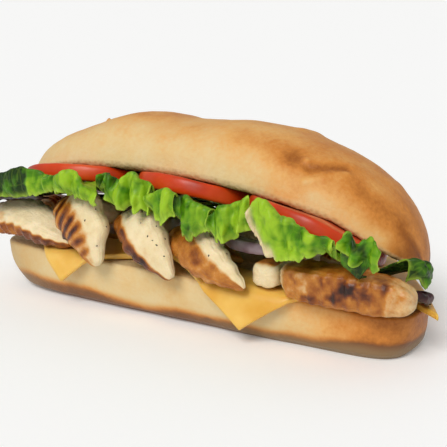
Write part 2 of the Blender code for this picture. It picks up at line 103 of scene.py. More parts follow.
# Marks on the crust: each one's two ends, its reach and its strength, in millimetres of relief or as
# a share of the run from cream to brown. The crown's are in its own frame
CREASE = ((50.5, -30.8, 16.6), (61.5, -21.6, 21.3))
RIDGE = ((51, -33.5, 10.5), (63, -22.8, 19.3))
DENT = (43.3, -30, 18.7)
BUMP = (47.9, -29.2, 18.9)
BLISTER = (-63.4, -8.6, 23.2)
DARK_SPOT = (16.6, -34, 3.4)
CROWN_RELIEF = (
    (*CREASE, 2.2, -1.0),
    (*RIDGE, 1.3, 0.9),
    (DENT, DENT, 3.6, -0.6),
    (BUMP, BUMP, 1.5, 0.9),
    (BLISTER, BLISTER, 1.5, 3.2),
    ((32, -6, 30), (34, 6, 30), 3.0, 0.7),
    ((73, -6, 24), (73, 6, 24), 3.0, 0.6),
    ((-2, -26, 24), (4, 8, 28), 6.0, -0.5),
)
# Browner patches. Over the relief it is darker in the crease and the dent and paler on the ridge and the
# bump: partly browning, partly painted shade in the hollows and painted highlight on the raised crust
CROWN_BROWNING_AND_PAINTED_LIGHT = (
    (*CREASE, 2.6, 0.26),
    (*RIDGE, 1.3, -0.12),
    (DENT, DENT, 4.6, 0.23),
    (BUMP, BUMP, 1.6, -0.16),
    ((18, -31, 20), (40, -31, 19), 8.0, 0.1),
    ((-42, -24, 25), (-22, -22, 27), 8.0, 0.1),
    ((56, -33, 6), (80, -21, 4), 4.0, -0.14),
)
HEEL_RELIEF = (((50, -37, 15), (96, -38, 12), 2.2, -0.6), ((48, -37, 9), (88, -38, 8), 3.0, 0.4))
# The first two are a darker band under the right front's top edge, above the groove, and a paler band
# along the ridge: partly browning, partly painted shade and painted highlight
HEEL_BROWNING_AND_PAINTED_LIGHT = (
    ((66, -40, 17.5), (96, -42, 16), 3.2, 0.34),
    ((42, -37, 13), (88, -40, 9.5), 3.4, -0.24),
    (DARK_SPOT, DARK_SPOT, 2.0, 0.5),
)
# The crown browns to its right end: where each step starts and how far it runs, as shares of the
# half length, and its strength
CROWN_BROWNER = ((0.22, 0.3, 0.22), (0.6, 0.4, 0.24), (0.86, 0.14, 0.24))

# Fillings
CHEESE_THICKNESS = 2.4
CHEESE_FOLD_RADIUS = 3.0
CHEESE_GAP = 0.6
CHEESE_CLIMB = 16.0
CHEESE_EDGE_INSET = 0.0105
TOMATO_THICKNESS = 6.6
TOMATO_ROUNDING = 1.6 / 30
TOMATO_SQUARENESS = (2.15, 2.15)
LEAF_THICKNESS = 0.7
UPPER_LEAF_DEPTH = 8.4
LOWER_LEAF_DEPTH = 10.0
BACK_LEAF_DEPTH = 4.2

# Each cheese slice: its corners laid flat, how far a corner may fold down, and how far it climbs
# onto its neighbour left of a given x
CHEESE_SLICES = {
    "cheese_front_left": (((-51, -50.5), (-92, -12), (-3, -9)), 78, None),
    "cheese_front_right": (((38, -54), (-20, -17), (76, -20)), 78, 0),
    "cheese_back_left": (((-38, 47), (-91, -4), (16, -5)), 70, None),
    "cheese_back_right": (((62, 45), (27, -5), (110, 0)), 4, None),
}

# Each chicken strip, as places along it: x, y, z, width, thickness and how far its broad face
# leans from up towards the front, in degrees
CHICKEN_STRIPS = {
    "chicken_a": (
        (-105, -27, 31.8, 12, 9, 20),
        (-92, -31, 32.6, 17, 10.5, 30),
        (-76, -35, 34.6, 17.5, 12, 35),
        (-61, -37.5, 31.6, 14, 8.6, 36),
        (-48.5, -37, 28.2, 9, 5, 34),
    ),
    "chicken_b": (
        (-70, 34, 26, 15, 8, 0),
        (-62, 8, 32, 20, 12.5, 0),
        (-54.5, -16, 37, 22, 13, 15),
        (-49.5, -35.0, 43.6, 19.5, 10.8, 52),
        (-37, -43.5, 37.5, 24, 11, 82),
        (-30.5, -45, 22.5, 13, 8, 88),
    ),
    "chicken_c": (
        (-42, 34, 26, 15, 8, 0),
        (-34, 8, 30.5, 18, 10, 0),
        (-26, -18, 35, 19, 12, 12),
        (-17, -35, 41, 18, 12, 45),
        (-5, -43.5, 36, 20, 11, 80),
        (7, -45, 23.5, 12, 8, 88),
    ),
    "chicken_d": (
        (-12, 34, 26, 15, 8, 0),
        (-5, 8, 30.5, 18, 10, 0),
        (2, -18, 33, 19, 12, 10),
        (9, -34, 38, 18, 12, 40),
        (23.5, -43, 33.5, 18, 11, 78),
        (41, -45.4, 25, 9, 6.4, 88),
    ),
    "chicken_e": (
        (46.6, -10, 29.6, 11, 8.5, 0),
        (46.4, -22, 30.2, 11, 9.2, 0),
        (46.2, -32, 30, 11, 9.6, 0),
        (46, -41, 29.8, 11, 9.6, 0),
    ),
    "chicken_f": (
        (53, -35.5, 30.4, 13, 12.6, 6),
        (64, -36, 29.8, 13.5, 14.6, 9),
        (78, -35, 29.2, 14, 15.6, 7),
        (94, -34, 28.6, 13.5, 14.2, 3),
        (105.5, -32, 26.6, 11, 9.6, 0),
    ),
    "chicken_g": (
        (12, 33, 25.4, 14, 7.5, 0),
        (15.5, 13, 29.5, 19, 11, 0),
        (20, -5, 31.8, 19, 12, 0),
    ),
    "chicken_h": (
        (50, 31, 25, 14, 6, 0),
        (55, 14, 27.4, 19, 8, 0),
        (61, -6, 29, 17, 8.5, 0),
    ),
    "chicken_i": (
        (-86, 22, 25.4, 13, 7, 0),
        (-86, 4, 29.5, 17, 11.5, 0),
        (-85, -14.5, 33, 17, 16.5, 0),
    ),
}
# Strips cut square, and how the others and these round off: the power of their ends, then of
# their sections
SQUARE_STRIPS = ("chicken_e", "chicken_f")
STRIP_POWERS = ((5.0, 0.75), (14.0, 0.55))

# Where each strip is seared: the angle round its section and its reach in degrees, the place along
# it and its reach from 0 to 1, how dark it is and how strongly the grill's bars show in it
SEARED = {
    "chicken_a": ((-22, 62, 0.5, 0.6, 0.74, 0), (60, 24, 0.25, 0.15, 0.3, 0)),
    "chicken_b": ((12, 88, 0.64, 0.32, 0.8, 1), (10, 70, 0.95, 0.1, 0.5, 0)),
    "chicken_c": ((0, 74, 0.8, 0.27, 0.86, 0), (0, 70, 0.58, 0.08, 0.5, 0)),
    "chicken_d": ((26, 82, 0.8, 0.26, 0.62, 0), (5, 40, 0.95, 0.14, 0.8, 0)),
    "chicken_e": ((90, 44, 0.42, 0.52, 0.62, 0),),
    "chicken_f": ((5, 180, 0.44, 0.4, 0.56, 0), (0, 180, 0.9, 0.14, 0.4, 0)),
    "chicken_g": ((90, 80, 0.4, 0.5, 0.6, 1),),
    "chicken_h": ((90, 80, 0.5, 0.5, 0.6, 1),),
    "chicken_i": ((90, 80, 0.5, 0.5, 0.5, 1),),
}

# Grill marks as a wave: its radians along a whole strip, its slant and its strength
GRILL_BARS = 140
BAR_SLANT = 2.2
BAR_STRENGTH = 0.34

# Dark grill spots: their strength, then each one's place and reach
CHAR_STRENGTH = 0.42
CHARS = (
    (80.1, -41.1, 30.5, 2.6),
    (84.0, -41.0, 31.3, 2.2),
    (95.3, -38.5, 32.6, 2.4),
    (89.2, -40.6, 29.6, 2.6),
    (89.2, -36.5, 34.2, 2.4),
    (66.5, -42.0, 24.6, 2.4),
    (62.0, -41.5, 32.0, 1.6),
    (76.0, -42.0, 26.6, 2.0),
    (72.5, -42.0, 33.0, 1.4),
)

# Pepper grains for each square metre of pale meat, on each strip that shows them
PEPPERED = {"chicken_b": 5000.0, "chicken_c": 15000.0, "chicken_d": 5000.0}
PEPPER_SIZE = 1.2
MOST_PEPPERED_SEAR = 0.3

# A pale crease that crosses the squared strip at the front right
PALE_CREASE = ((58.1, -34.5, 35.2), (64.9, -41.3, 27.9))

# Each tomato slice in the crown's frame: centre x and y, half length and half width
TOMATO_SLICES = {
    "tomato_left": (-61.0, -14.5, 30.0, 30.0),
    "tomato_middle": (-3.5, -15.5, 26.5, 29.5),
    "tomato_right": (51.5, -16.5, 27.5, 29.0),
}

# Each front leaf: its x range inside the filling, how far back it starts in the crown's frame,
# whether it lies in the upper layer, where its front hangs at its left and right, its ruffle and
# the number of ruffles, then its outline along the front as x, crest and hem
FRONT_LEAVES = {
    "lettuce_1": (
        (-99, -53.3), -15, False, (-46, -46), 0.8, 1.5,
        ((-99, 50, 43.5), (-88, 54.5, 45), (-78, 57, 46.5), (-68.5, 60.3, 47.5), (-53.4, 58, 51.5)),
    ),
    "lettuce_2": (
        (-52.7, -33.4), 8, True, (-50.8, -51), 1.2, 2.5,
        ((-52.7, 58.5, 53), (-45, 61, 54), (-39, 63.5, 53), (-32.5, 59.5, 52.5), (-25, 54.5, 50)),
    ),
    "lettuce_3": (
        (-29, -2), 8, False, (-44, -47.5), 1.5, 3.5,
        ((-29.4, 61, 56), (-24, 62.5, 54.5), (-17, 60, 50), (-10.5, 65, 51), (-1.5, 60.8, 49.5)),
    ),
    "lettuce_4": (
        (-1.4, 11), 8, True, (-51, -51), 1.2, 1.0,
        ((-0.6, 57, 52.5), (4, 59.8, 48.3), (9, 61.6, 48.6), (12.8, 60, 52)),
    ),
    "lettuce_5": (
        (11.7, 27), 8, False, (-48, -48), 1.2, 1.5,
        ((10.6, 58, 50), (15, 58.6, 42.6), (20, 57.4, 43), (26.6, 54.6, 47)),
    ),
    "lettuce_6": (
        (27.6, 41.6), 8, False, (-50.5, -46), 1.4, 2.0,
        ((27.2, 52.5, 48.5), (31, 57, 44.6), (37, 58.8, 46), (43.6, 62.5, 51.5)),
    ),
    "lettuce_7": (
        (44.4, 79), -20, True, (-52, -50), 1.3, 2.5,
        ((46, 57.5, 53), (51, 63.5, 47), (58, 58.6, 40.2), (68, 54, 43), (80.6, 51, 48)),
    ),
    "lettuce_8": (
        (80.8, 89.5), -38, True, (-50, -48), 1.3, 2.0,
        ((82.8, 51, 48), (85.7, 53.8, 47), (88.6, 50, 44.2), (93.5, 53.6, 43.4), (98, 49, 44.5)),
    ),
}

# How each front leaf looks: its frill, its teeth, its tone at the left and right from dark 0 to
# bright 1 and whether a pale rib shows
LEAF_LOOKS = {
    "lettuce_1": (0.5, 0.3, -0.15, 0.3, False),
    "lettuce_2": (0.9, 0.8, 0.5, 0.62, False),
    "lettuce_3": (1.3, 1.0, 0.1, 0.8, False),
    "lettuce_4": (0.9, 0.9, 0.6, 0.7, False),
    "lettuce_5": (0.9, 0.9, 0.25, 0.4, False),
    "lettuce_6": (1.2, 1.1, 0.5, 0.75, False),
    "lettuce_7": (0.7, 0.9, 0.8, 0.6, True),
    "lettuce_8": (1.1, 1.1, 0.62, 0.4, False),
}

# Each back leaf in the crown's frame: left and right x, how far back it reaches, how far its hem
# drops there, its ruffle and its tone
BACK_LEAVES = {
    "lettuce_back_left": (-85, -31.5, 45, 12, 1.2, 0.5),
    "lettuce_back_middle": (-30.5, 23, 46, 12, 1.2, 0.75),
    "lettuce_back_right": (24, 62, 42, 2.5, 0.6, 0.6),
}

# The leaves at the ends: x inside and outside, y at the front and back, the depth under the crown,
# how far the leaf rises to its outer edge and hangs down there, the ruffle, the material, the tone
# and the frill
END_LEAVES = {
    "lettuce_right_end": (84, 104.5, -27, -12, 9.8, 7.5, 8.0, 1.4, "lettuce", 0.0, 1.3),
    "red_leaf_right_end": (84, 104.5, -25, -11, 13.8, 0.0, 3.5, 0.4, "red_leaf", 0.3, 0.3),
    "red_leaf_left_end": (-80, -101, -33, -15.5, 11.6, -4.0, 0.6, 0.4, "red_leaf", 0.5, 0.3),
}

# Each onion piece, an arc of a ring lying flat
ONION_RADII = {"onion_outer": 20.0, "onion_inner": 16.6}
ONION_CENTRE = (37.0, -15.0, 38.6)
ONION_ARC = (200.0, 338.0)
ONION_WIDTH = 2.6
ONION_HEIGHT = 4.8


def linear(code):
    """A hex sRGB colour as linear red, green, blue and alpha."""
    parts = [int(code[i : i + 2], 16) / 255 for i in (1, 3, 5)]
    return (*[c / 12.92 if c <= 0.04045 else ((c + 0.055) / 1.055) ** 2.4 for c in parts], 1.0)


def put(tree, kind, inputs=(), stops=(), **settings):
    """Adds a node. settings are its own properties, stops are a ramp's places and hex colours, and
    inputs are pairs of a socket's name or place and a value, an output or a node's first output."""
    made = tree.nodes.new(kind)
    for key, value in settings.items():
        setattr(made, key, value)
    for key, value in inputs:
        if isinstance(value, bpy.types.Node):
            value = value.outputs[0]
        if isinstance(value, bpy.types.NodeSocket):
            tree.links.new(value, made.inputs[key])
        else:
            made.inputs[key].default_value = value
    while stops and len(made.color_ramp.elements) < len(stops):
        made.color_ramp.elements.new(0.5)
    for i, (place, colour) in enumerate(stops):
        made.color_ramp.elements[i].position = place
        made.color_ramp.elements[i].color = linear(colour)
    return made


def add_object(name, data):
    item = bpy.data.objects.new(name, data)
    bpy.context.scene.collection.objects.link(item)
    return item


def ease(value):
    """0 below 0, 1 above 1 and a smooth step between."""
    value = np.clip(value, 0, 1)
    return value * value * (3 - 2 * value)


NOISE_SIDE = 32


def noise(points, size, seed):
    """Smooth repeatable noise from -1 to 1, with lumps of about this size."""
    table = np.random.default_rng(seed).uniform(-1, 1, (NOISE_SIDE,) * 3)
    place = np.asarray(points, float) / size
    cell = np.floor(place).astype(int)
    part = place - cell
    part = part * part * (3 - 2 * part)
    total = np.zeros(place.shape[:-1])
    for corner in np.ndindex(2, 2, 2):
        index = (cell + corner) % NOISE_SIDE
        weight = np.prod(np.where(corner, part, 1 - part), axis=-1)
        total += weight * table[index[..., 0], index[..., 1], index[..., 2]]
    return total


def lumps(points, *sizes):
    """Noise of several sizes together, each given as its strength, size and seed."""
    return sum(strength * noise(points, size, seed) for strength, size, seed in sizes)


def smooth_rows(rows, count):
    """Rows of numbers made into a smooth run of count rows, by a Catmull-Rom curve through them."""
    rows = np.asarray(rows, float)
    padded = np.vstack([2 * rows[0] - rows[1], rows, 2 * rows[-1] - rows[-2]])
    steps = np.linalg.norm(np.diff(rows[:, :3], axis=0), axis=1)
    at = np.concatenate([[0.0], np.cumsum(steps)]) / steps.sum()
    values = np.linspace(0, 1, count)
    i = np.minimum(np.searchsorted(at, values, side="right") - 1, len(rows) - 2)
    t = ((values - at[i]) / (at[i + 1] - at[i]))[:, None]
    before, start, end, after = (padded[i + k] for k in range(4))
    square = (2 * before - 5 * start + 4 * end - after) * t**2
    cube = (3 * start - before - 3 * end + after) * t**3
    return 0.5 * (2 * start + (end - before) * t + square + cube)


def signed_power(value, exponent):
    return np.sign(value) * np.abs(value) ** exponent


def outline(lengths, half_width, powers, count):
    """An evenly stepped superellipse in plan, anticlockwise from the right end."""
    turn = np.linspace(0, 2 * math.pi, 2881)
    left = np.cos(turn) < 0
    exponent = 2 / np.where(left, *powers)
    x = np.where(left, *lengths) * signed_power(np.cos(turn), exponent)
    y = half_width * signed_power(np.sin(turn), exponent)
    length = np.concatenate([[0], np.cumsum(np.hypot(np.diff(x), np.diff(y)))])
    at = np.linspace(0, length[-1], count, endpoint=False)
    return np.stack([np.interp(at, length, x), np.interp(at, length, y)], axis=1)


def heel_top(x, y):
    """Height of the heel's cut face, which falls to the back and to the right."""
    back = np.clip((np.asarray(y) + HEEL_HALF_WIDTH) / (2 * HEEL_HALF_WIDTH), 0, 1)
    rise = HEEL_RIGHT_RISE * ease(np.asarray(x) / HEEL_LENGTHS[1])
    return HEEL_FRONT_HEIGHT + (HEEL_BACK_HEIGHT - HEEL_FRONT_HEIGHT) * back + rise


def heel_sway(x):
    """How far the heel bends to the front at a place along it."""
    past = np.maximum(0, np.asarray(x) - HEEL_SWAY_FROM) / (HEEL_LENGTHS[1] - HEEL_SWAY_FROM)
    return HEEL_SWAY * past**2


def heel_outline(inset, count):
    """The heel's plan outline, drawn in by an inset."""
    lengths = [length - inset * end for length, end in zip(HEEL_LENGTHS, HEEL_END_INSETS)]
    return outline(lengths, HEEL_HALF_WIDTH - inset, HEEL_SQUARENESS, count)


def crown_droop(x):
    """How far the crown's right end hangs lower than its sagging curve."""
    return CROWN_DROOP * ease((np.asarray(x, float) - CROWN_DROOP_FROM) / CROWN_DROOP_REACH)


def crown_place(x, y, z):
    """A place in the crown's own frame, sagged and tilted into the roll's."""
    x, y, z = np.broadcast_arrays(*(np.asarray(value, float) for value in (x, y, z)))
    z = z - CROWN_SAG * (x - CROWN_SAG_FROM) ** 2 - crown_droop(x)
    turned_y = y * math.cos(CROWN_TILT) + z * math.sin(CROWN_TILT)
    turned_z = z * math.cos(CROWN_TILT) - y * math.sin(CROWN_TILT)
    return np.stack([x, turned_y, turned_z], axis=-1) + CROWN_PLACE


def under_crown(x, y, depth):
    """Height of the place this deep under the crown's cut face, at x and y of the roll."""
    along = x - CROWN_PLACE[0]
    z = -depth - CROWN_SAG * (along - CROWN_SAG_FROM) ** 2 - crown_droop(along)
    across = (y - CROWN_PLACE[1] - z * math.sin(CROWN_TILT)) / math.cos(CROWN_TILT)
    return CROWN_PLACE[2] + z * math.cos(CROWN_TILT) - across * math.sin(CROWN_TILT)


def crown_section(share):
    """The crown's x, half width and height at a share, -1 to 1, of its half length."""
    side = 0 if share < 0 else 1
    place = share * CROWN_HALF_LENGTHS[side]
    width = (1 - abs(share) ** CROWN_PLAN_POWERS[side]) ** 0.5
    height = (1 - abs(share) ** CROWN_RISE_POWERS[side]) ** 0.5
    swell = sum(tall * math.exp(-(((place - at) / reach) ** 2)) for at, reach, tall in CROWN_SWELLS)
    droop = crown_droop(place) * (1 - abs(share) ** 14) ** 0.5
    return place, CROWN_HALF_WIDTH * width, height * (CROWN_HEIGHT + swell) + droop


def crown_rings(count, dome_count, flat_count, most=1.42):
    """The crown's rings in its own frame: the dome from front to back, then the cut face."""
    across = np.linspace(1, -1, flat_count + 2)[1:-1]
    turn = np.linspace(0, math.pi, dome_count)
    rings = []
    for share in np.sin(np.linspace(-most, most, count)):
        x, width, height = crown_section(share)
        lip = min(CROWN_LIP, height * 0.2)
        dome_y = -width * np.cos(turn)
        dome_z = lip + (height - lip) * np.sin(turn) ** (2 / CROWN_DOME_POWER)
        flat_y = np.concatenate([[width - lip], (width - lip) * across, [lip - width]])
        y = np.concatenate([dome_y, flat_y])
        z = np.concatenate([dome_z, np.zeros(len(flat_y))])
        rings.append(np.stack([np.full(len(y), x), y, z], axis=1))
    return np.array(rings)


def crown_poles():
    """The middle of each end of the crown, in its own frame."""
    left, right = CROWN_HALF_LENGTHS
    return np.array([[-left, 0, CROWN_LIP / 2], [right, 0, CROWN_LIP / 2]])


def frame_shift():
    """From the roll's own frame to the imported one, found from the crown's box in both."""
    rings = crown_rings(25, 17, 5)
    places = crown_place(*np.vstack([rings.reshape(-1, 3), crown_poles()]).T)
    low, high = (np.array(corner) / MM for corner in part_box("crown"))
    return (low + high) / 2 - (places.min(axis=0) + places.max(axis=0)) / 2


SHIFT = frame_shift()


def to_scene(points):
    return (np.asarray(points, float) + SHIFT) * MM


def loft_faces(count, around):
    """Quads between rings joined in turn."""
    ring, place = np.meshgrid(np.arange(count - 1), np.arange(around), indexing="ij")
    low = ring * around
    after = (place + 1) % around
    quads = np.stack([low + place, low + after, low + around + after, low + around + place], axis=-1)
    return quads.reshape(-1, 4).tolist()


def pole_faces(start, around, pole, step):
    """Triangles from one ring to its pole."""
    ring = [start + i for i in range(around)]
    return [(*pair[::step], pole) for pair in zip(ring, ring[1:] + ring[:1])]


def loft(rings, poles):
    """Points and faces of rings joined in turn and closed by a pole at each end."""
    count, around, _ = rings.shape
    points = np.vstack([rings.reshape(-1, 3), poles])
    faces = loft_faces(count, around)
    last = (count - 1) * around
    faces += pole_faces(0, around, len(points) - 2, -1)
    faces += pole_faces(last, around, len(points) - 1, 1)
    return points, faces


def make_mesh(name, points, faces, material, replaces, attributes, relief=None):
    """A smooth piece from points in the roll's frame, pushed out by its relief along its normals."""
    mesh = bpy.data.meshes.new(name)
    mesh.from_pydata(to_scene(points).tolist(), [], faces)
    work = bmesh.new()
    work.from_mesh(mesh)
    if work.calc_volume(signed=True) < 0:
        bmesh.ops.reverse_faces(work, faces=work.faces)
    work.to_mesh(mesh)
    work.free()
    if relief is not None:
        normals = np.empty(len(mesh.vertices) * 3)
        mesh.vertices.foreach_get("normal", normals)
        places = to_scene(points) + normals.reshape(-1, 3) * relief[:, None] * MM
        mesh.vertices.foreach_set("co", places.ravel())
        mesh.update()
    for key, values in attributes.items():
        attribute = mesh.attributes.new(key, "FLOAT", "POINT")
        attribute.data.foreach_set("value", np.asarray(values, np.float32))
    mesh.shade_smooth()
    mesh.materials.append(material)
    piece = add_object(name, mesh)
    claim(piece, replaces)
    return piece


def claim(piece, replaces=None):
    """Puts the piece on the roll's body and hides the imported part that it replaces."""
    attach(piece, BODY)
    if replaces:
        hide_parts(replaces)


def stroke(points, start, end, reach):
    """1 along a line between two places, or at one place, falling smoothly to 0 past its reach."""
    start, end = np.asarray(start, float), np.asarray(end, float)
    line = end - start
    share = np.clip((points - start) @ line / max(line @ line, 1e-9), 0, 1)
    away = np.linalg.norm(points - start - share[..., None] * line, axis=-1)
    return np.exp(-((away / reach) ** 2))


def strokes(points, marks):
    """Several strokes together, each given as its two ends, reach and strength."""
    return sum(strength * stroke(points, *mark) for *mark, strength in marks)


# Materials


def new_material(name):
    material = bpy.data.materials.new(name)
    material.use_nodes = True
    material.node_tree.nodes.clear()
    return material, material.node_tree


def finish_material(tree, colour, rough, bumps, scatter=(0.0, (1.0, 0.2, 0.1), 50.0), **constants):
    """Ends a material: its colour, its roughness, its bumps as (height, distance in mm, strength),
    how much, in what colours and how many mm deep light scatters in it, and other constants on the
    shader's own sockets, with _ for each space in their names."""
    inputs = [("Base Color", colour), ("Roughness", rough)]
    share, radius, deep = scatter
    inputs += [("Subsurface Weight", share), ("Subsurface Radius", radius)]
    inputs += [("Subsurface Scale", deep * MM)]
    inputs += [(key.replace("_", " "), value) for key, value in constants.items()]
    bent = []
    for height, distance, strength in bumps:
        bump = [("Height", height), ("Distance", distance * MM), ("Strength", strength), *bent]
        bent = [("Normal", put(tree, "ShaderNodeBump", bump))]
    shader = put(tree, "ShaderNodeBsdfPrincipled", inputs + bent)
    put(tree, "ShaderNodeOutputMaterial", [("Surface", shader)])


def pattern(tree, kind, size, **inputs):
    """A Noise or Voronoi pattern on object coordinates with features of this size in millimetres."""
    place = put(tree, "ShaderNodeTexCoord").outputs["Object"]
    return put(tree, kind, [("Vector", place), ("Scale", 1 / (size * MM)), *inputs.items()])


def baked_crust(settings):
    """Baked wheat crust of a soft roll: matt and floury where pale, tight and a little glossy where
    browned, with a fine grain of pores. Its browning value also carries painted shade in creases and low
    on the heel and painted highlight on ridges, and its grey value is painted shade towards the floor.
    Where it is cut, the open crumb shows, torn, greyed and darkest in its pore hollows with painted
    shade."""
    material, tree = new_material("baked_wheat_crust")
    browning_and_painted_light, crumb, grey_and_painted_shade = (
        put(tree, "ShaderNodeAttribute", attribute_name=key).outputs["Fac"]
        for key in ("browning_and_painted_light", "crumb", "grey_and_painted_shade")
    )
    mottle = pattern(tree, "ShaderNodeTexNoise", 9.0, Detail=6.0, Roughness=0.65)
    grain = pattern(tree, "ShaderNodeTexNoise", 1.6, Detail=3.0, Roughness=0.6)
    pores = pattern(tree, "ShaderNodeTexVoronoi", 1.7)
    # The browning value holds real browning together with painted shade and painted highlight from the
    # pieces
    level = browning_and_painted_light
    for source, share in ((mottle, 0.4), (grain, 0.2)):
        inputs = [(0, source), (1, share), (2, level)]
        level = put(tree, "ShaderNodeMath", inputs, operation="MULTIPLY_ADD")
    level = put(tree, "ShaderNodeMath", [(0, level), (1, -0.3)], operation="ADD")
    stops = (
        (0.0, settings.cream),
        (0.2, "#dbba80"),
        (0.4, "#dca45c"),
        (0.6, "#ca8134"),
        (0.8, "#9d5a18"),
        (1.0, settings.brown),
    )
    colour = put(tree, "ShaderNodeValToRGB", [("Fac", level)], stops)
    # The open crumb, greyed and darkest in each pore's hollow: painted shade over its pale colour
    stops = ((0.0, "#a3855c"), (0.35, "#b4976a"), (0.75, "#c9af80"))
    crumb_with_painted_shade = put(tree, "ShaderNodeValToRGB", [("Fac", pores)], stops).outputs[0]
    # The grey mix greys the heel low down and at its left end; towards the floor it is painted shade
    for share, over in ((grey_and_painted_shade, linear("#94805c")), (crumb, crumb_with_painted_shade)):
        inputs = [("Factor", share), (6, colour), (7, over)]
        colour = put(tree, "ShaderNodeMix", inputs, data_type="RGBA").outputs[2]
    inputs = [("Value", level), ("To Min", 0.62), ("To Max", 0.42)]
    rough = put(tree, "ShaderNodeMapRange", inputs)
    pore_height = put(tree, "ShaderNodeMath", [(0, pores), (1, crumb)], operation="MULTIPLY")
    bumps = [(grain, 0.5, 0.4), (mottle, 1.2, 0.35), (pore_height, 1.0, 0.5)]
    scatter = (0.1, (1.0, 0.55, 0.25), 2.0)
    finish_material(tree, colour, rough, bumps, scatter, Specular_IOR_Level=0.3)
    return material


def sliced_cheese(settings):
    """Mild processed cheese, cast and sliced: dense, satin and faintly waxy, with soft edges."""
    material, tree = new_material("mild_sliced_cheese")
    mottle = pattern(tree, "ShaderNodeTexNoise", 14.0, Detail=3.0)
    stops = ((0.3, "#daa238"), (0.5, settings.cheese), (0.75, "#ecc469"))
    colour = put(tree, "ShaderNodeValToRGB", [("Fac", mottle)], stops)
    fine = pattern(tree, "ShaderNodeTexNoise", 2.5, Detail=2.0)
    scatter = (0.35, (1.0, 0.6, 0.2), 3.0)
    finish_material(tree, colour, 0.42, [(fine, 0.15, 0.3)], scatter, Specular_IOR_Level=0.4)
    return material


def grilled_chicken(settings):
    """Grilled chicken breast: pale moist muscle with lengthwise fibres, seared brown to black where
    it lay on the grill."""
    material, tree = new_material("grilled_chicken_breast")
    sear = put(tree, "ShaderNodeAttribute", attribute_name="sear").outputs["Fac"]
    mottle = pattern(tree, "ShaderNodeTexNoise", 4.0, Detail=6.0, Roughness=0.65)
    grain = pattern(tree, "ShaderNodeTexNoise", 1.1, Detail=3.0)
    inputs = [(0, mottle), (1, 0.5), (2, sear)]
    level = put(tree, "ShaderNodeMath", inputs, operation="MULTIPLY_ADD")
    level = put(tree, "ShaderNodeMath", [(0, level), (1, -0.22)], operation="ADD")
    stops = (
        (0.0, "#ecd9b0"),
        (0.16, settings.chicken),
        (0.32, "#d8b079"),
        (0.48, "#c07c2c"),
        (0.66, "#94500f"),
        (0.84, "#5f2a0b"),
        (1.0, "#2a1006"),
    )
    colour = put(tree, "ShaderNodeValToRGB", [("Fac", level)], stops)
    inputs = [("Value", level), ("To Min", 0.42), ("To Max", 0.3)]
    rough = put(tree, "ShaderNodeMapRange", inputs)
    bumps = [(grain, 0.5, 0.5), (mottle, 0.6, 0.5)]
    scatter = (0.22, (1.0, 0.5, 0.25), 2.0)
    moist = {"Specular_IOR_Level": 0.35, "Coat_Weight": 0.08, "Coat_Roughness": 0.3}
    finish_material(tree, colour, rough, bumps, scatter, **moist)
    return material


def sliced_tomato(settings):
    """Ripe tomato, sliced: a wet glossy skin round moist red flesh."""
    material, tree = new_material("ripe_sliced_tomato")
    flesh = put(tree, "ShaderNodeAttribute", attribute_name="flesh").outputs["Fac"]
    blush = pattern(tree, "ShaderNodeTexNoise", 26.0, Detail=3.0)
    stops = ((0.3, "#9a2603"), (0.5, settings.tomato), (0.72, "#de5a22"))
    skin = put(tree, "ShaderNodeValToRGB", [("Fac", blush)], stops)
    cells = pattern(tree, "ShaderNodeTexVoronoi", 9.0)
    stops = ((0.1, "#b8330f"), (0.5, "#d75a34"), (0.8, "#e88a5c"))
    inside = put(tree, "ShaderNodeValToRGB", [("Fac", cells)], stops)
    inputs = [("Factor", flesh), (6, skin), (7, inside)]
    colour = put(tree, "ShaderNodeMix", inputs, data_type="RGBA").outputs[2]
    fine = pattern(tree, "ShaderNodeTexNoise", 3.0, Detail=3.0)
    scatter = (0.25, (1.0, 0.25, 0.1), 3.0)
    wet = {"Specular_IOR_Level": 0.3, "Coat_Weight": 0.12, "Coat_Roughness": 0.25}
    finish_material(tree, colour, 0.4, [(fine, 0.3, 0.35)], scatter, **wet)
    return material


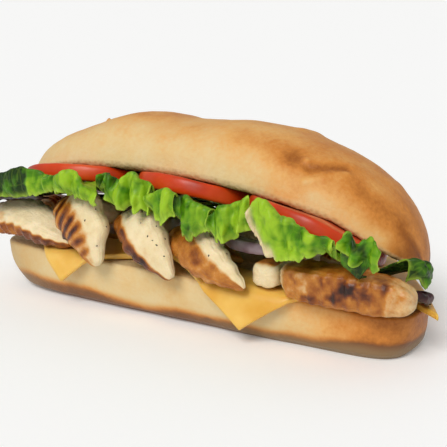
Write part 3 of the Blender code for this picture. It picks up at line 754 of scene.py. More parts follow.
def fresh_leaf(name, dark, middle, bright, edge_colour):
    """Fresh salad leaf: a thin crisp blade, blistered between pale veins, paler at its frilled edge and
    letting light through. Its edge value is partly the leaf's own pale margin and partly painted
    highlight, and its tone value carries painted light and shade."""
    material, tree = new_material(name)
    tone, edge, rib = (
        put(tree, "ShaderNodeAttribute", attribute_name=key).outputs["Fac"]
        for key in ("tone", "edge", "rib")
    )
    blade = put(tree, "ShaderNodeUVMap", uv_map="blade")
    inputs = [("Vector", blade), ("Scale", 180.0), ("Detail", 3.0)]
    warp = put(tree, "ShaderNodeTexNoise", inputs).outputs["Color"]
    inputs = [("Factor", 0.004), (4, blade), (5, warp)]
    bent = put(tree, "ShaderNodeMix", inputs, data_type="VECTOR").outputs[1]
    veins = put(
        tree,
        "ShaderNodeTexVoronoi",
        [("Vector", bent), ("Scale", 300.0)],
        feature="DISTANCE_TO_EDGE",
        voronoi_dimensions="2D",
    ).outputs["Distance"]
    inputs = [("Vector", blade), ("Scale", 230.0), ("Detail", 4.0)]
    patch = put(tree, "ShaderNodeTexNoise", inputs)
    inputs = [(0, patch), (1, 0.9), (2, tone)]
    level = put(tree, "ShaderNodeMath", inputs, operation="MULTIPLY_ADD")
    level = put(tree, "ShaderNodeMath", [(0, level), (1, -0.45)], operation="ADD")
    stops = ((0.0, dark), (0.42, middle), (0.9, bright))
    colour = put(tree, "ShaderNodeValToRGB", [("Fac", level)], stops)
    inputs = [("Value", veins), ("From Min", 0.0), ("From Max", 0.1), ("To Min", 0.09), ("To Max", 0.0)]
    vein = put(tree, "ShaderNodeMapRange", inputs)
    for share, over in ((vein, edge_colour), (edge, edge_colour), (rib, "#dcc79c")):
        inputs = [("Factor", share), (6, colour), (7, linear(over))]
        colour = put(tree, "ShaderNodeMix", inputs, data_type="RGBA").outputs[2]
    scatter = (0.2, (0.5, 1.0, 0.2), 1.5)
    finish_material(tree, colour, 0.42, [(veins, 1.0, 0.35)], scatter, Specular_IOR_Level=0.22)
    return material


def raw_onion(settings):
    """Red onion: translucent and wet, lilac-grey with soft streaks."""
    material, tree = new_material("raw_red_onion")
    streaks = pattern(tree, "ShaderNodeTexNoise", 6.0, Detail=3.0)
    stops = ((0.3, "#8a6a72"), (0.55, settings.onion), (0.8, "#c9bcc0"))
    colour = put(tree, "ShaderNodeValToRGB", [("Fac", streaks)], stops)
    finish_material(tree, colour, 0.3, [(streaks, 0.3, 0.3)], (0.3, (1.0, 0.7, 0.8), 2.0))
    return material


def plain_material(name, code, rough, glow=0.0):
    """A plain dry finish: ground pepper, or the stage's matt paint, which glows a little."""
    material, tree = new_material(name)
    colour = linear(code)
    finish_material(tree, colour, rough, [], Emission_Color=colour, Emission_Strength=glow)
    return material


# Settings


def hex_setting(name, description, code):
    description = f"{description}, as hex"
    return bpy.props.StringProperty(name=name, description=description, default=code)


def angle_setting(name, description, degrees):
    return bpy.props.FloatProperty(
        name=name,
        description=description,
        default=math.radians(degrees),
        subtype="ANGLE",
        unit="ROTATION",
    )


class BreadSettings(bpy.types.PropertyGroup):
    cream: hex_setting("Cream", "Palest colour of the crust", "#dcc695")
    brown: hex_setting("Brown", "Darkest colour of the crust", "#6f3a14")
    relief: bpy.props.FloatProperty(
        name="Relief",
        description="How strongly the crust is wrinkled and dimpled",
        default=1.0,
        min=0.0,
        max=2.0,
        subtype="FACTOR",
    )


class FillingSettings(bpy.types.PropertyGroup):
    cheese: hex_setting("Cheese", "Main colour of the cheese", "#e2b24f")
    chicken: hex_setting("Chicken", "Main colour of the pale meat", "#e2cc9e")
    tomato: hex_setting("Tomato", "Main colour of the tomato skin", "#cd3c05")
    lettuce_dark: hex_setting("Dark leaf", "Darkest leaf colour", "#183404")
    lettuce: hex_setting("Leaf", "Middle leaf colour", "#4c8206")
    lettuce_bright: hex_setting("Bright leaf", "Brightest leaf colour", "#94ba22")
    onion: hex_setting("Onion", "Main colour of the onion", "#a8959c")


class StageSettings(bpy.types.PropertyGroup):
    floor: hex_setting("Floor", "Colour of the floor", "#f8f8f7")
    azimuth: angle_setting("Azimuth", "How far the camera stands round to the right", 32.0)
    elevation: angle_setting("Elevation", "How far the camera looks down", 15.0)
    distance: bpy.props.FloatProperty(
        name="Distance",
        description="From the camera to the sandwich's middle",
        default=0.51,
        subtype="DISTANCE",
        unit="LENGTH",
    )


# Bread


def make_crown(settings, material):
    dome_count = 130
    rings = crown_rings(230, dome_count, 46, 1.5)
    count, around, _ = rings.shape
    local, faces = loft(rings, crown_poles())
    places = crown_place(*local.T)
    x, _, z = local.T
    row = np.append(np.tile(np.arange(around), count), [1, 1])
    on_dome = (row > 0) & (row < dome_count - 1)
    push = lumps(places, (0.45, 19.0, 1), (0.2, 7.0, 2), (0.06, 2.2, 3)) + strokes(local, CROWN_RELIEF)
    push *= settings.relief * ease((z - 0.2) / 4)
    push += (~on_dome & (z < 0.6)) * lumps(places, (0.2, 1.6, 5), (0.3, 4.0, 6))
    tallest = np.append(np.repeat(rings[..., 2].max(axis=1), around), [9, 9])
    rise = np.clip(z / tallest, 0, 1)
    share = x / np.where(x < 0, *CROWN_HALF_LENGTHS)
    browner = sum(strength * ease((share - start) / run) for start, run, strength in CROWN_BROWNER)
    browning_and_painted_light = 0.1 + 0.36 * rise**1.3 + browner * (1 - 0.62 * ease((rise - 0.62) / 0.3))
    # Browner patches on the crown, with painted shade in its crease and dent and painted highlight on its
    # ridge and bump
    browning_and_painted_light += lumps(places, (0.08, 24.0, 7), (0.06, 9.0, 8)) + strokes(local, CROWN_BROWNING_AND_PAINTED_LIGHT)
    band = 2.6 * ease((x - 14) / 30) + 0.9 * noise(places, 5.0, 10)
    crumb = np.where(on_dome, 0.6 * ease((band - z) / 1.6), 0.6)
    attributes = {"browning_and_painted_light": browning_and_painted_light, "crumb": crumb, "grey_and_painted_shade": 0 * browning_and_painted_light}
    make_mesh("crown_bread", places, faces, material, "crown", attributes, push)


def heel_rings(around, middle, side):
    """The heel's rings: its flat base from the middle out, its side up, then the cut face inwards."""
    outer = heel_outline(0.0, around)
    base = [(HEEL_HALF_WIDTH - left, 0.0) for left in middle[:-1]]
    wall = []
    for share in side:
        foot = 2.5 * max(0.0, 1 - share / 0.12)
        wall.append((HEEL_BASE_INSET * (1 - share) ** HEEL_BASE_CURVE + foot, share))
    wall.append((HEEL_LIP * 0.35, 0.985))
    top = [(HEEL_LIP, 1.0)] + [(HEEL_HALF_WIDTH - left, 1.0) for left in middle[::-1]]
    rings = []
    for inset, share in base + wall + top:
        inner = heel_outline(inset, around)
        fullness = 0.0 if share == 1.0 or inset > HEEL_HALF_WIDTH / 2 else HEEL_RIGHT_FULLNESS
        keep = fullness * ease(outer[:, :1] / HEEL_LENGTHS[1])
        x, y = (inner + (outer - inner) * keep).T
        rings.append(np.stack([x, y - heel_sway(x), share * heel_top(x, y)], axis=1))
    return np.array(rings)


def make_heel(settings, material):
    around = 420
    middle = (0.6, 4.0, 9.0, 14.0, 20.0, 26.0, 31.0)
    side = np.linspace(0, 0.94, 44)
    rings = heel_rings(around, middle, side)
    places, faces = loft(rings, np.array([rings[0].mean(axis=0), rings[-1].mean(axis=0)]))
    row = np.append(np.repeat(np.arange(len(rings)), around), [0, len(rings)])
    on_side = (row >= len(middle) - 1) & (row < len(middle) + len(side))
    x, y, z = places.T
    push = lumps(places, (0.4, 17.0, 11), (0.22, 6.0, 12), (0.06, 2.0, 13)) + strokes(places, HEEL_RELIEF)
    push *= settings.relief * ease(z / 3) * ease((heel_top(x, y) - z) / 1.5)
    # The lower crust browns and greys towards the floor: partly its baked bottom, partly painted shade
    low = 8.6 + 2.4 * ease((-10 - x) / 60) + 1.8 * noise(places, 16.0, 14)
    low = ease((low - z) / 6.4)
    # The heel's marks add painted shade above the groove and painted highlight along the ridge
    browning_and_painted_light = 0.1 + 0.92 * low * (0.7 + 0.3 * ease((-y - 5) / 15)) + strokes(places, HEEL_BROWNING_AND_PAINTED_LIGHT)
    browning_and_painted_light += lumps(places, (0.1, 20.0, 15), (0.08, 7.0, 16))
    browning_and_painted_light += 0.24 * ease((x - 42) / 26) + 0.36 * ease((x - 66) / 24) + 0.08 * ease((-x - 80) / 15)
    browning_and_painted_light = np.where(z < 0.3, 0.7, browning_and_painted_light)
    # Greyer low on the heel and at its left end; towards the floor this is painted shade
    grey_and_painted_shade = 0.25 * low * (1 + ease(x / 40)) + 0.4 * ease((-x - 58) / 34)
    grey_and_painted_shade += 0.2 * ease((9 - z) / 8) * ease((x - 10) / 60)
    crumb = np.where(on_side, 0.0, 0.45) * (z > 5)
    attributes = {"browning_and_painted_light": browning_and_painted_light, "crumb": crumb, "grey_and_painted_shade": grey_and_painted_shade}
    make_mesh("heel_bread", places, faces, material, "heel", attributes, push)


class SANDWICH_OT_bread(bpy.types.Operator):
    """Makes the two halves of the roll"""

    bl_idname = "sandwich.bread"
    bl_label = "Bread"

    def execute(self, context):
        settings = context.scene.sandwich_bread
        material = baked_crust(settings)
        make_crown(settings, material)
        make_heel(settings, material)
        return {"FINISHED"}


# Cheese


def heel_edge(x, y):
    """The nearest place on the heel's plan outline to a place outside it."""
    power = HEEL_SQUARENESS[int(x > 0)]
    half = np.array([HEEL_LENGTHS[int(x > 0)], HEEL_HALF_WIDTH])
    place = np.array([x, y], float)
    for _ in range(6):
        ratio = np.abs(place) / half
        value = (ratio**power).sum() ** (1 / power)
        slope = np.sign(place) * ratio ** (power - 1) / half * value ** (1 - power)
        place = place - (value - 1) * slope / (slope @ slope)
    return place


def fold_over_heel(x, y, lift, fold):
    """A flat place on the heel's cut face, folded down where it lies past the edge."""
    half_length = HEEL_LENGTHS[int(x > 0)]
    power = HEEL_SQUARENESS[int(x > 0)]
    if (abs(x) / half_length) ** power + (abs(y) / HEEL_HALF_WIDTH) ** power <= 1:
        return x, y - float(heel_sway(x)), float(heel_top(x, y)) + lift
    edge = heel_edge(x, y)
    past = math.hypot(x - edge[0], y - edge[1])
    out = np.array([x - edge[0], y - edge[1]]) / max(past, 1e-9)
    flat = past * CHEESE_FOLD_RADIUS / (CHEESE_FOLD_RADIUS + CHEESE_THICKNESS / 2)
    turn = min(flat / CHEESE_FOLD_RADIUS, fold)
    radius = CHEESE_FOLD_RADIUS + lift
    rest = max(0.0, past - turn * (CHEESE_FOLD_RADIUS + CHEESE_THICKNESS / 2))
    reach = radius * math.sin(turn) + rest * math.cos(turn)
    drop = radius * (1 - math.cos(turn)) + rest * math.sin(turn)
    place = edge + out * reach
    height = float(heel_top(*edge)) + lift - drop
    return place[0], place[1] - float(heel_sway(place[0])), height


def corner_grid(steps):
    """Rows of shares of a triangle's three corners, the triangles between them and the rim."""
    shares, index, faces = [], {}, []
    for i in range(steps + 1):
        for j in range(steps + 1 - i):
            index[i, j] = len(shares)
            shares.append((1 - (i + j) / steps, i / steps, j / steps))
    for i, j in index:
        if i + j < steps:
            faces.append((index[i, j], index[i + 1, j], index[i, j + 1]))
        if i + j < steps - 1:
            faces.append((index[i + 1, j], index[i + 1, j + 1], index[i, j + 1]))
    rim = [index[i, 0] for i in range(steps)]
    rim += [index[steps - i, i] for i in range(steps)]
    rim += [index[0, steps - i] for i in range(steps)]
    return np.array(shares), faces, rim


class SANDWICH_OT_cheese(bpy.types.Operator):
    """Makes the cheese slices on the heel, with soft rounded edges"""

    bl_idname = "sandwich.cheese"
    bl_label = "Cheese"

    def execute(self, context):
        material = sliced_cheese(context.scene.sandwich_filling)
        layers = 5
        shares, faces, rim = corner_grid(54)
        count = len(shares)
        solid = [face[::-1] for face in faces]
        solid += [tuple(i + (layers - 1) * count for i in face) for face in faces]
        for low in range(0, (layers - 1) * count, count):
            for i, j in zip(rim, rim[1:] + rim[:1]):
                solid.append((low + i, low + j, low + count + j, low + count + i))
        used = np.zeros(layers * count, bool)
        used[[i for face in solid for i in face]] = True
        renumber = np.cumsum(used) - 1
        solid = [tuple(int(renumber[i]) for i in face) for face in solid]
        for name, (corners, fold, climb_before) in CHEESE_SLICES.items():
            flat = shares @ np.array(corners, float)
            middle = flat.mean(axis=0)
            points = []
            for height in np.linspace(0, 1, layers):
                inset = CHEESE_EDGE_INSET * (2 * height - 1) ** 4
                for x, y in flat + (middle - flat) * inset:
                    lift = CHEESE_GAP + CHEESE_THICKNESS * height
                    if climb_before is not None:
                        lift += (CHEESE_THICKNESS + GAP) * (1 - ease((x - climb_before) / CHEESE_CLIMB))
                    points.append(fold_over_heel(x, y, lift, math.radians(fold)))
            points = np.array(points)[used]
            push = lumps(points, (0.18, 11.0, 21), (0.05, 3.0, 22))
            make_mesh(name + "_slice", points, solid, material, name, {}, push)
        return {"FINISHED"}


# Chicken


def strip_rings(rows, turn, length, powers):
    """A strip's rings, a rounded flat section along its curve, with its ends and places along it."""
    end_power, section_power = powers
    section_x = signed_power(np.cos(turn), section_power)
    section_z = signed_power(np.sin(turn), section_power)
    fine = smooth_rows(rows, 1200)
    shares = np.sin(np.linspace(-math.pi / 2, math.pi / 2, length))
    shares = 0.7 * shares + 0.3 * np.linspace(-1, 1, length)
    at = (shares + 1) / 2 * (len(fine) - 1)
    line = np.stack([np.interp(at, np.arange(len(fine)), column) for column in fine.T], axis=1)
    ahead = np.gradient(line[:, :3], axis=0)
    ahead /= np.linalg.norm(ahead, axis=1)[:, None]
    rings = []
    for place, along, share in zip(line[1:-1], ahead[1:-1], shares[1:-1]):
        lean = math.radians(place[5])
        across = np.cross(along, (0, -math.sin(lean), math.cos(lean)))
        across /= np.linalg.norm(across)
        face = np.cross(across, along)
        blunt = (1 - abs(share) ** end_power) ** 0.45
        uneven = 1 + 0.06 * math.sin(7 * share + place[0])
        wide = place[3] / 2 * blunt * uneven
        thick = place[4] / 2 * blunt
        rings.append(place[:3] + np.outer(section_x * wide, across) + np.outer(section_z * thick, face))
    return np.array(rings), line[[0, -1], :3], (shares[1:-1] + 1) / 2


def make_strip(name, rows, material):
    """A chicken strip with muscle fibres and sear marks."""
    turn = np.linspace(0, 2 * math.pi, 88, endpoint=False)
    rings, ends, shares = strip_rings(rows, turn, 130, STRIP_POWERS[name in SQUARE_STRIPS])
    points, faces = loft(rings, ends)
    angle = np.append(np.tile(np.degrees(turn), len(rings)), [0, 0])
    along = np.append(np.repeat(shares, len(turn)), [0, 1])
    seed = ord(name[-1])
    fibre = np.stack([along * 5, angle / 5, 0 * angle], axis=1)
    push = lumps(points, (0.5, 6.5, seed), (0.25, 2.6, seed + 1)) + 0.16 * noise(fibre, 1.0, seed + 2)
    sear = 0.04 + 0.1 * noise(points, 8.0, seed + 3)
    patches = 0.88 + lumps(points, (0.22, 5.0, seed + 4), (0.12, 2.2, seed + 5))
    for centre, reach, place, spread, dark, barred in SEARED[name]:
        turned = (angle - centre + 180) % 360 - 180
        side = ease((reach - np.abs(turned) + 8) / 24)
        down = ease((spread - np.abs(along - place)) / 0.12 + 0.5)
        wobble = 1.6 * noise(points, 9.0, seed + 6)
        bars = np.sin(GRILL_BARS * along + BAR_SLANT * np.radians(turned) + wobble)
        sear = np.maximum(sear, dark * side * down * patches * (1 + BAR_STRENGTH * barred * bars))
    ragged = 1 + lumps(points, (0.6, 2.2, 77), (0.3, 1.1, 78))
    for *place, reach in CHARS:
        sear += CHAR_STRENGTH * stroke(points, place, place, reach * ragged)
    crease = stroke(points, *PALE_CREASE, 1.3)
    sear -= 0.35 * crease
    push -= 0.6 * crease
    make_mesh(name + "_strip", points, faces, material, name, {"sear": sear}, push)


class SANDWICH_OT_chicken(bpy.types.Operator):
    """Makes the grilled chicken strips"""

    bl_idname = "sandwich.chicken"
    bl_label = "Chicken"

    def execute(self, context):
        material = grilled_chicken(context.scene.sandwich_filling)
        for name, rows in CHICKEN_STRIPS.items():
            make_strip(name, rows, material)
        return {"FINISHED"}


# Tomatoes


class SANDWICH_OT_tomatoes(bpy.types.Operator):
    """Makes the tomato slices under the crown"""

    bl_idname = "sandwich.tomatoes"
    bl_label = "Tomatoes"

    def execute(self, context):
        material = sliced_tomato(context.scene.sandwich_filling)
        deep = TOMATO_THICKNESS
        below = 1.2 * GAP
        bend = np.linspace(-math.pi / 2, math.pi / 2, 22)
        rim_wide = 1 - TOMATO_ROUNDING + TOMATO_ROUNDING * np.cos(bend) ** 0.7
        rim_z = -deep / 2 + deep / 2 * signed_power(np.sin(bend), 0.8)
        flat = np.linspace(0.05, 1 - TOMATO_ROUNDING, 14)[:-1]
        wide = np.concatenate([flat, rim_wide, flat[::-1]])[:, None]
        height = np.concatenate([0 * flat - deep, rim_z, 0 * flat])[:, None] - below
        for seed, (name, (x, y, half_length, half_width)) in enumerate(TOMATO_SLICES.items()):
            plan = outline((half_length, half_length), half_width, TOMATO_SQUARENESS, 220)
            over, across = x + plan[:, 0] * wide, y + plan[:, 1] * wide
            rings = np.stack([over, across, height + 0 * over], axis=-1)
            local, faces = loft(rings, np.array([[x, y, -deep - below], [x, y, -below]]))
            points = crown_place(*local.T)
            ratio = np.hypot((local[:, 0] - x) / half_length, (local[:, 1] - y) / half_width)
            push = lumps(points, (0.35, 16.0, 31 + seed), (0.12, 4.0, 41 + seed))
            attributes = {"flesh": ease((0.95 - ratio) / 0.03)}
            make_mesh(name + "_cut", points, faces, material, name, attributes, push)
        return {"FINISHED"}


# Leaves


def sheet_normals(grid):
    """The unit normals of a grid of places."""
    normal = np.cross(np.gradient(grid, axis=0), np.gradient(grid, axis=1))
    return normal / np.linalg.norm(normal, axis=2)[:, :, None]


def make_sheet(name, grid, material, attributes):
    """A thin closed sheet round a grid of places, with the blade's own flat map for its veins."""
    half = LEAF_THICKNESS / 2 * sheet_normals(grid)
    rows, columns, _ = grid.shape
    count = rows * columns
    points = np.concatenate([(grid - half).reshape(-1, 3), (grid + half).reshape(-1, 3)])
    i, j = np.meshgrid(np.arange(rows - 1), np.arange(columns - 1), indexing="ij")
    corner = (i * columns + j).ravel()
    top = np.stack([corner, corner + 1, corner + columns + 1, corner + columns], axis=1)
    faces = top[:, ::-1].tolist() + (top + count).tolist()
    rim = list(range(columns))
    rim += [i * columns + columns - 1 for i in range(1, rows)]
    rim += [(rows - 1) * columns + j for j in range(columns - 2, -1, -1)]
    rim += [i * columns for i in range(rows - 2, 0, -1)]
    faces += [(a, b, b + count, a + count) for a, b in zip(rim, rim[1:] + rim[:1])]
    doubled = {key: np.tile(values.ravel(), 2) for key, values in attributes.items()}
    piece = make_mesh(name + "_leaf", points, faces, material, name, doubled)
    run = [
        np.concatenate([[0], np.cumsum(np.linalg.norm(np.diff(edge, axis=0), axis=1))])
        for edge in (grid[0], grid[:, 0])
    ]
    u, v = np.meshgrid(run[0] * MM, run[1] * MM)
    flat = np.tile(np.stack([u.ravel(), v.ravel()], axis=1), (2, 1))
    layer = piece.data.uv_layers.new(name="blade")
    loops = np.empty(len(piece.data.loops), np.int32)
    piece.data.loops.foreach_get("vertex_index", loops)
    layer.data.foreach_set("uv", flat[loops].ravel())


def leaf_blisters(grid, seed, strength):
    """A grid with small bumps pushed along its normals, and the bumps."""
    rough = lumps(grid, (1.0, 3.1, seed), (0.6, 1.5, seed + 1))
    return grid + sheet_normals(grid) * (strength * rough)[..., None], rough


def edge_share(rows, columns, hem, sides):
    """How near each place of a grid is to the hem and the sides, from 0 to 1."""
    down = np.linspace(0, 1, rows)[:, None]
    over = np.abs(np.linspace(-1, 1, columns))[None, :]
    low = ease((down - 1 + hem) / hem) ** 2
    return np.maximum(low, ease((over - 1 + sides) / sides) ** 2 * (down > 0.5))


def make_front_leaf(seed, name, values, material):
    """A leaf that lies flat in the filling, turns up at the front to its crest and hangs to its hem.

    Its shape follows its outline, and frills of several sizes and teeth roughen its crest and hem. Its
    tone holds painted light and shade: lighter where frills and blisters push forward, darker between
    crest and hem and where it lies under the crown.
    """
    inside, back, upper, fronts, ruffle, waves, outline_rows = values
    frill, teeth, tone_left, tone_right, ribbed = LEAF_LOOKS[name]
    depth = UPPER_LEAF_DEPTH if upper else LOWER_LEAF_DEPTH
    columns, rows = 150, 110
    grid = np.zeros((rows, columns, 3))
    shares = np.linspace(0, 1, columns)
    down = np.linspace(0, 1, rows)
    loose = ease((down - 0.45) / 0.4)
    edges = smooth_rows(outline_rows, columns)
    for j, (share, (x, crest, hem)) in enumerate(zip(shares, edges)):
        along = inside[0] + (inside[1] - inside[0]) * share - CROWN_PLACE[0]
        front = fronts[0] + (fronts[1] - fronts[0]) * share
        flat = [crown_place(along, y, -depth) for y in np.linspace(back, -43, 4)]
        hang = [(x, front + 1.0, crest), (x, front, 0.5 * (crest + hem)), (x, front + 1.5, hem)]
        grid[:, j] = smooth_rows(flat + hang, rows)
        wave = np.sin(waves * 2 * math.pi * share + 6.3 * down)
        grid[:, j, 1] += ruffle * (wave - 0.6) * loose
    shares, down = shares[None, :], down[:, None]
    hanging = ease((down - 0.6) / 0.15)
    hem_near = ease((down - 0.78) / 0.22)
    crest_near = np.exp(-(((down - 0.66) / 0.06) ** 2))
    span = edges[:, 0][None, :] + 0 * down
    apart = np.full_like(span, 30.0 * seed)
    blade = np.stack([span, 0.45 * grid[..., 2], apart], axis=-1)
    rim = np.stack([span, 0 * span, apart], axis=-1)
    folds = lumps(blade, (1.0, 4.0, seed), (0.6, 1.7, seed + 20))
    sharp = 1 - 2.2 * np.abs(noise(blade, 3.0, seed + 40))
    swing = frill * (0.7 * hanging + 1.1 * np.maximum(hem_near, crest_near))
    grid[..., 1] -= swing * (1.1 * folds + 0.5 * sharp)
    points = noise(rim, 0.95, seed + 90)
    hem_notches = 0.7 - 2.4 * np.abs(noise(rim, 3.4, seed + 80))
    crest_notches = 0.7 - 2.4 * np.abs(noise(rim, 3.7, seed + 95))
    grid[..., 2] += teeth * (1.3 * hem_notches + 0.9 * points) * hem_near**2
    grid[..., 2] -= teeth * (crest_notches + 0.8 * points) * crest_near
    grid[..., 0] += 0.5 * frill * noise(blade, 3.0, seed + 99) * hem_near
    grid, rough = leaf_blisters(grid, 50 + seed, 0.36)
    # The crest and the margins are painted paler: partly the leaf's own pale frilled edge, partly painted
    # highlight where the crest turns up into the light
    pale_crest_and_painted_highlight = crest_near * ease(0.5 + noise(rim, 5.0, seed + 33)) * (teeth > 0.4)
    edge = np.clip(edge_share(rows, columns, 0.08, 0.06) * 0.85 + 0.5 * pale_crest_and_painted_highlight, 0, 1)
    edge = edge * (0.7 + 0.3 * noise(blade, 1.15, seed + 60))
    # Painted light: lighter where the frills and blisters push forward. Painted shade: darker between
    # crest and hem and where the leaf lies under the crown
    tone_with_painted_light = tone_left + (tone_right - tone_left) * shares
    tone_with_painted_light = tone_with_painted_light + (0.36 * folds + 0.14 * sharp) * hanging + 0.18 * rough
    tone_with_painted_light = tone_with_painted_light - 0.4 * ease((0.58 - down) / 0.2) - 0.12 * (crest_near + hem_near < 0.2) * hanging
    rib = 0 * edge
    if ribbed:
        wide = 0.03 + 0.03 * down
        rib = np.exp(-(((shares - 0.02) / wide) ** 2)) * ease((down - 0.5) / 0.1)
        low = np.exp(-(((down - 0.98) / 0.06) ** 2)) * ease((0.46 - shares) / 0.08)
        rib = np.maximum(rib, low)
    attributes = {"edge": edge, "tone": tone_with_painted_light, "rib": rib}
    make_sheet(name, grid, material, attributes)


def make_back_leaf(seed, name, left, right, reach, drop, ruffle, tone, material):
    """A leaf laid flat under the crown that comes out at the back and hangs there."""
    columns, rows = 140, 60
    grid = np.zeros((rows, columns, 3))
    down = np.linspace(0, 1, rows)
    loose = ease((down - 0.4) / 0.4)
    for j, share in enumerate(np.linspace(0, 1, columns)):
        bow = 1 - 0.12 * (2 * share - 1) ** 4
        x = left + (right - left) * share
        inside = ((17.5, 0.4), (28, 0.0), (37, -0.2 * drop))
        outside = ((reach * bow, -0.5 * drop), (reach * bow + 1, -drop))
        path = [(x, y, rise - BACK_LEAF_DEPTH) for y, rise in inside + outside]
        line = smooth_rows(path, rows)
        wave = ruffle * loose * math.sin(6 * math.pi * share)
        frill = math.sin(right * share * 1.1) + 0.5 * math.sin(left * share * 2.3)
        line[:, 1] += wave + 0.54 * loose**2 * frill
        line[:, 2] += 0.6 * loose**3 * math.sin(right * share * 1.9)
        grid[:, j] = crown_place(*line.T)
    grid, rough = leaf_blisters(grid, 60 + seed, 0.28)
    edge = edge_share(rows, columns, 0.12, 0.05)
    # The tone follows the blisters: painted light and shade
    tone_with_painted_light = tone + 0.15 * noise(grid, 6.0, 70 + seed) + 0.12 * rough
    attributes = {"edge": edge * 0.7, "tone": tone_with_painted_light, "rib": 0 * edge}
    make_sheet(name, grid, material, attributes)


def make_end_leaf(seed, name, values, materials):
    """A leaf that comes out under an end of the crown and hangs down at its outer edge."""
    inner, outer, front, back, depth, rise, hang, ruffle, kind, tone, frill = values
    columns, rows = 100, 90
    grid = np.zeros((rows, columns, 3))
    for j, share in enumerate(np.linspace(0, 1, columns)):
        y = front + (back - front) * share
        far = outer + (inner - outer) * 0.25 * (2 * share - 1) ** 4
        low = under_crown(inner, y, depth)
        wave = ruffle * math.sin(4 * math.pi * share)
        path = [(inner, y, low), ((inner + far) / 2, y, low + 0.55 * rise + 0.4 * wave)]
        path += [(far, y, low + rise + wave), (far, y, low + rise + wave - hang)]
        grid[:, j] = smooth_rows(path, rows)
    out = ease((np.linspace(0, 1, rows) - 0.3) / 0.5)[:, None]
    folds = noise(grid, 4.0, 80 + seed) + 0.5 * noise(grid, 1.8, 84 + seed)
    grid[..., 0] += frill * 0.9 * folds * out
    grid[..., 2] += frill * 0.7 * noise(grid, 2.6, 88 + seed) * out
    grid, rough = leaf_blisters(grid, 80 + seed, 0.2)
    edge = edge_share(rows, columns, 0.1, 0.08)
    # The tone follows the folds and blisters: painted light and shade
    tone_with_painted_light = tone + 0.3 * folds * out + 0.12 * rough
    attributes = {"edge": edge * 0.45, "tone": tone_with_painted_light, "rib": 0 * edge}
    make_sheet(name, grid, materials[kind], attributes)


class SANDWICH_OT_leaves(bpy.types.Operator):
    """Makes the lettuce and red leaves"""

    bl_idname = "sandwich.leaves"
    bl_label = "Leaves"

    def execute(self, context):
        settings = context.scene.sandwich_filling
        green = fresh_leaf(
            "fresh_lettuce_leaf",
            settings.lettuce_dark,
            settings.lettuce,
            settings.lettuce_bright,
            "#adc943",
        )
        red = fresh_leaf("fresh_red_leaf", "#180a0c", "#3a1a20", "#6b4a44", "#5c4a34")
        for seed, (name, values) in enumerate(FRONT_LEAVES.items()):
            make_front_leaf(seed, name, values, green)
        for seed, (name, values) in enumerate(BACK_LEAVES.items()):
            make_back_leaf(seed, name, *values, green)
        for seed, (name, values) in enumerate(END_LEAVES.items()):
            make_end_leaf(seed, name, values, {"lettuce": green, "red_leaf": red})
        return {"FINISHED"}


# Geometry Nodes pieces


def new_tree(name, floats):
    """A geometry tree with a mesh output and a mesh, number and material inputs, and those inputs."""
    tree = bpy.data.node_groups.new(name, "GeometryNodeTree")
    tree.interface.new_socket("Geometry", in_out="INPUT", socket_type="NodeSocketGeometry")
    for label in floats:
        tree.interface.new_socket(label, in_out="INPUT", socket_type="NodeSocketFloat")
    tree.interface.new_socket("Material", in_out="INPUT", socket_type="NodeSocketMaterial")
    tree.interface.new_socket("Geometry", in_out="OUTPUT", socket_type="NodeSocketGeometry")
    return tree, put(tree, "NodeGroupInput").outputs


def finish_tree(tree, geometry, material):
    """Makes a tree's instances real and gives its result the material."""
    real = put(tree, "GeometryNodeRealizeInstances", [("Geometry", geometry)])
    done = put(tree, "GeometryNodeSetMaterial", [("Geometry", real), ("Material", material)])
    put(tree, "NodeGroupOutput", [("Geometry", done)])
    return tree


def run_tree(name, tree, mesh, values):
    """The plain mesh that a tree makes of a mesh with these inputs."""
    carrier = add_object(name + "_carrier", mesh)
    modifier = carrier.modifiers.new("tree", "NODES")
    modifier.node_group = tree
    for item in tree.interface.items_tree:
        if item.item_type == "SOCKET" and item.in_out == "INPUT" and item.name in values:
            modifier[item.identifier] = values[item.name]
    graph = bpy.context.evaluated_depsgraph_get()
    made = bpy.data.meshes.new_from_object(carrier.evaluated_get(graph))
    made.name = name
    bpy.data.objects.remove(carrier)
    return made


def onion_tree():
    """A tree that sweeps a flattened section along an arc and roughens it a little."""
    tree, start = new_tree("onion_arc", ("Radius", "Start", "Sweep", "Width", "Height"))
    inputs = [("Resolution", 120), ("Radius", start["Radius"])]
    inputs += [("Start Angle", start["Start"]), ("Sweep Angle", start["Sweep"])]
    arc = put(tree, "GeometryNodeCurveArc", inputs)
    profile = put(tree, "GeometryNodeCurvePrimitiveCircle", [("Resolution", 28), ("Radius", 0.5)])
    inputs = [("X", start["Width"]), ("Y", start["Height"]), ("Z", 1.0)]
    size = put(tree, "ShaderNodeCombineXYZ", inputs)
    section = put(tree, "GeometryNodeTransform", [("Geometry", profile), ("Scale", size)])
    inputs = [("Curve", arc), ("Profile Curve", section), ("Fill Caps", True)]
    swept = put(tree, "GeometryNodeCurveToMesh", inputs)
    place = put(tree, "GeometryNodeInputPosition")
    inputs = [("Vector", place), ("Scale", 260.0), ("Detail", 2.0)]
    rough = put(tree, "ShaderNodeTexNoise", inputs)
    inputs = [(0, rough), (1, 0.6 * MM), (2, -0.3 * MM)]
    push = put(tree, "ShaderNodeMath", inputs, operation="MULTIPLY_ADD")
    inputs = [(0, put(tree, "GeometryNodeInputNormal")), ("Scale", push)]
    offset = put(tree, "ShaderNodeVectorMath", inputs, operation="SCALE")
    moved = put(tree, "GeometryNodeSetPosition", [("Geometry", swept), ("Offset", offset)])
    return finish_tree(tree, moved, start["Material"])


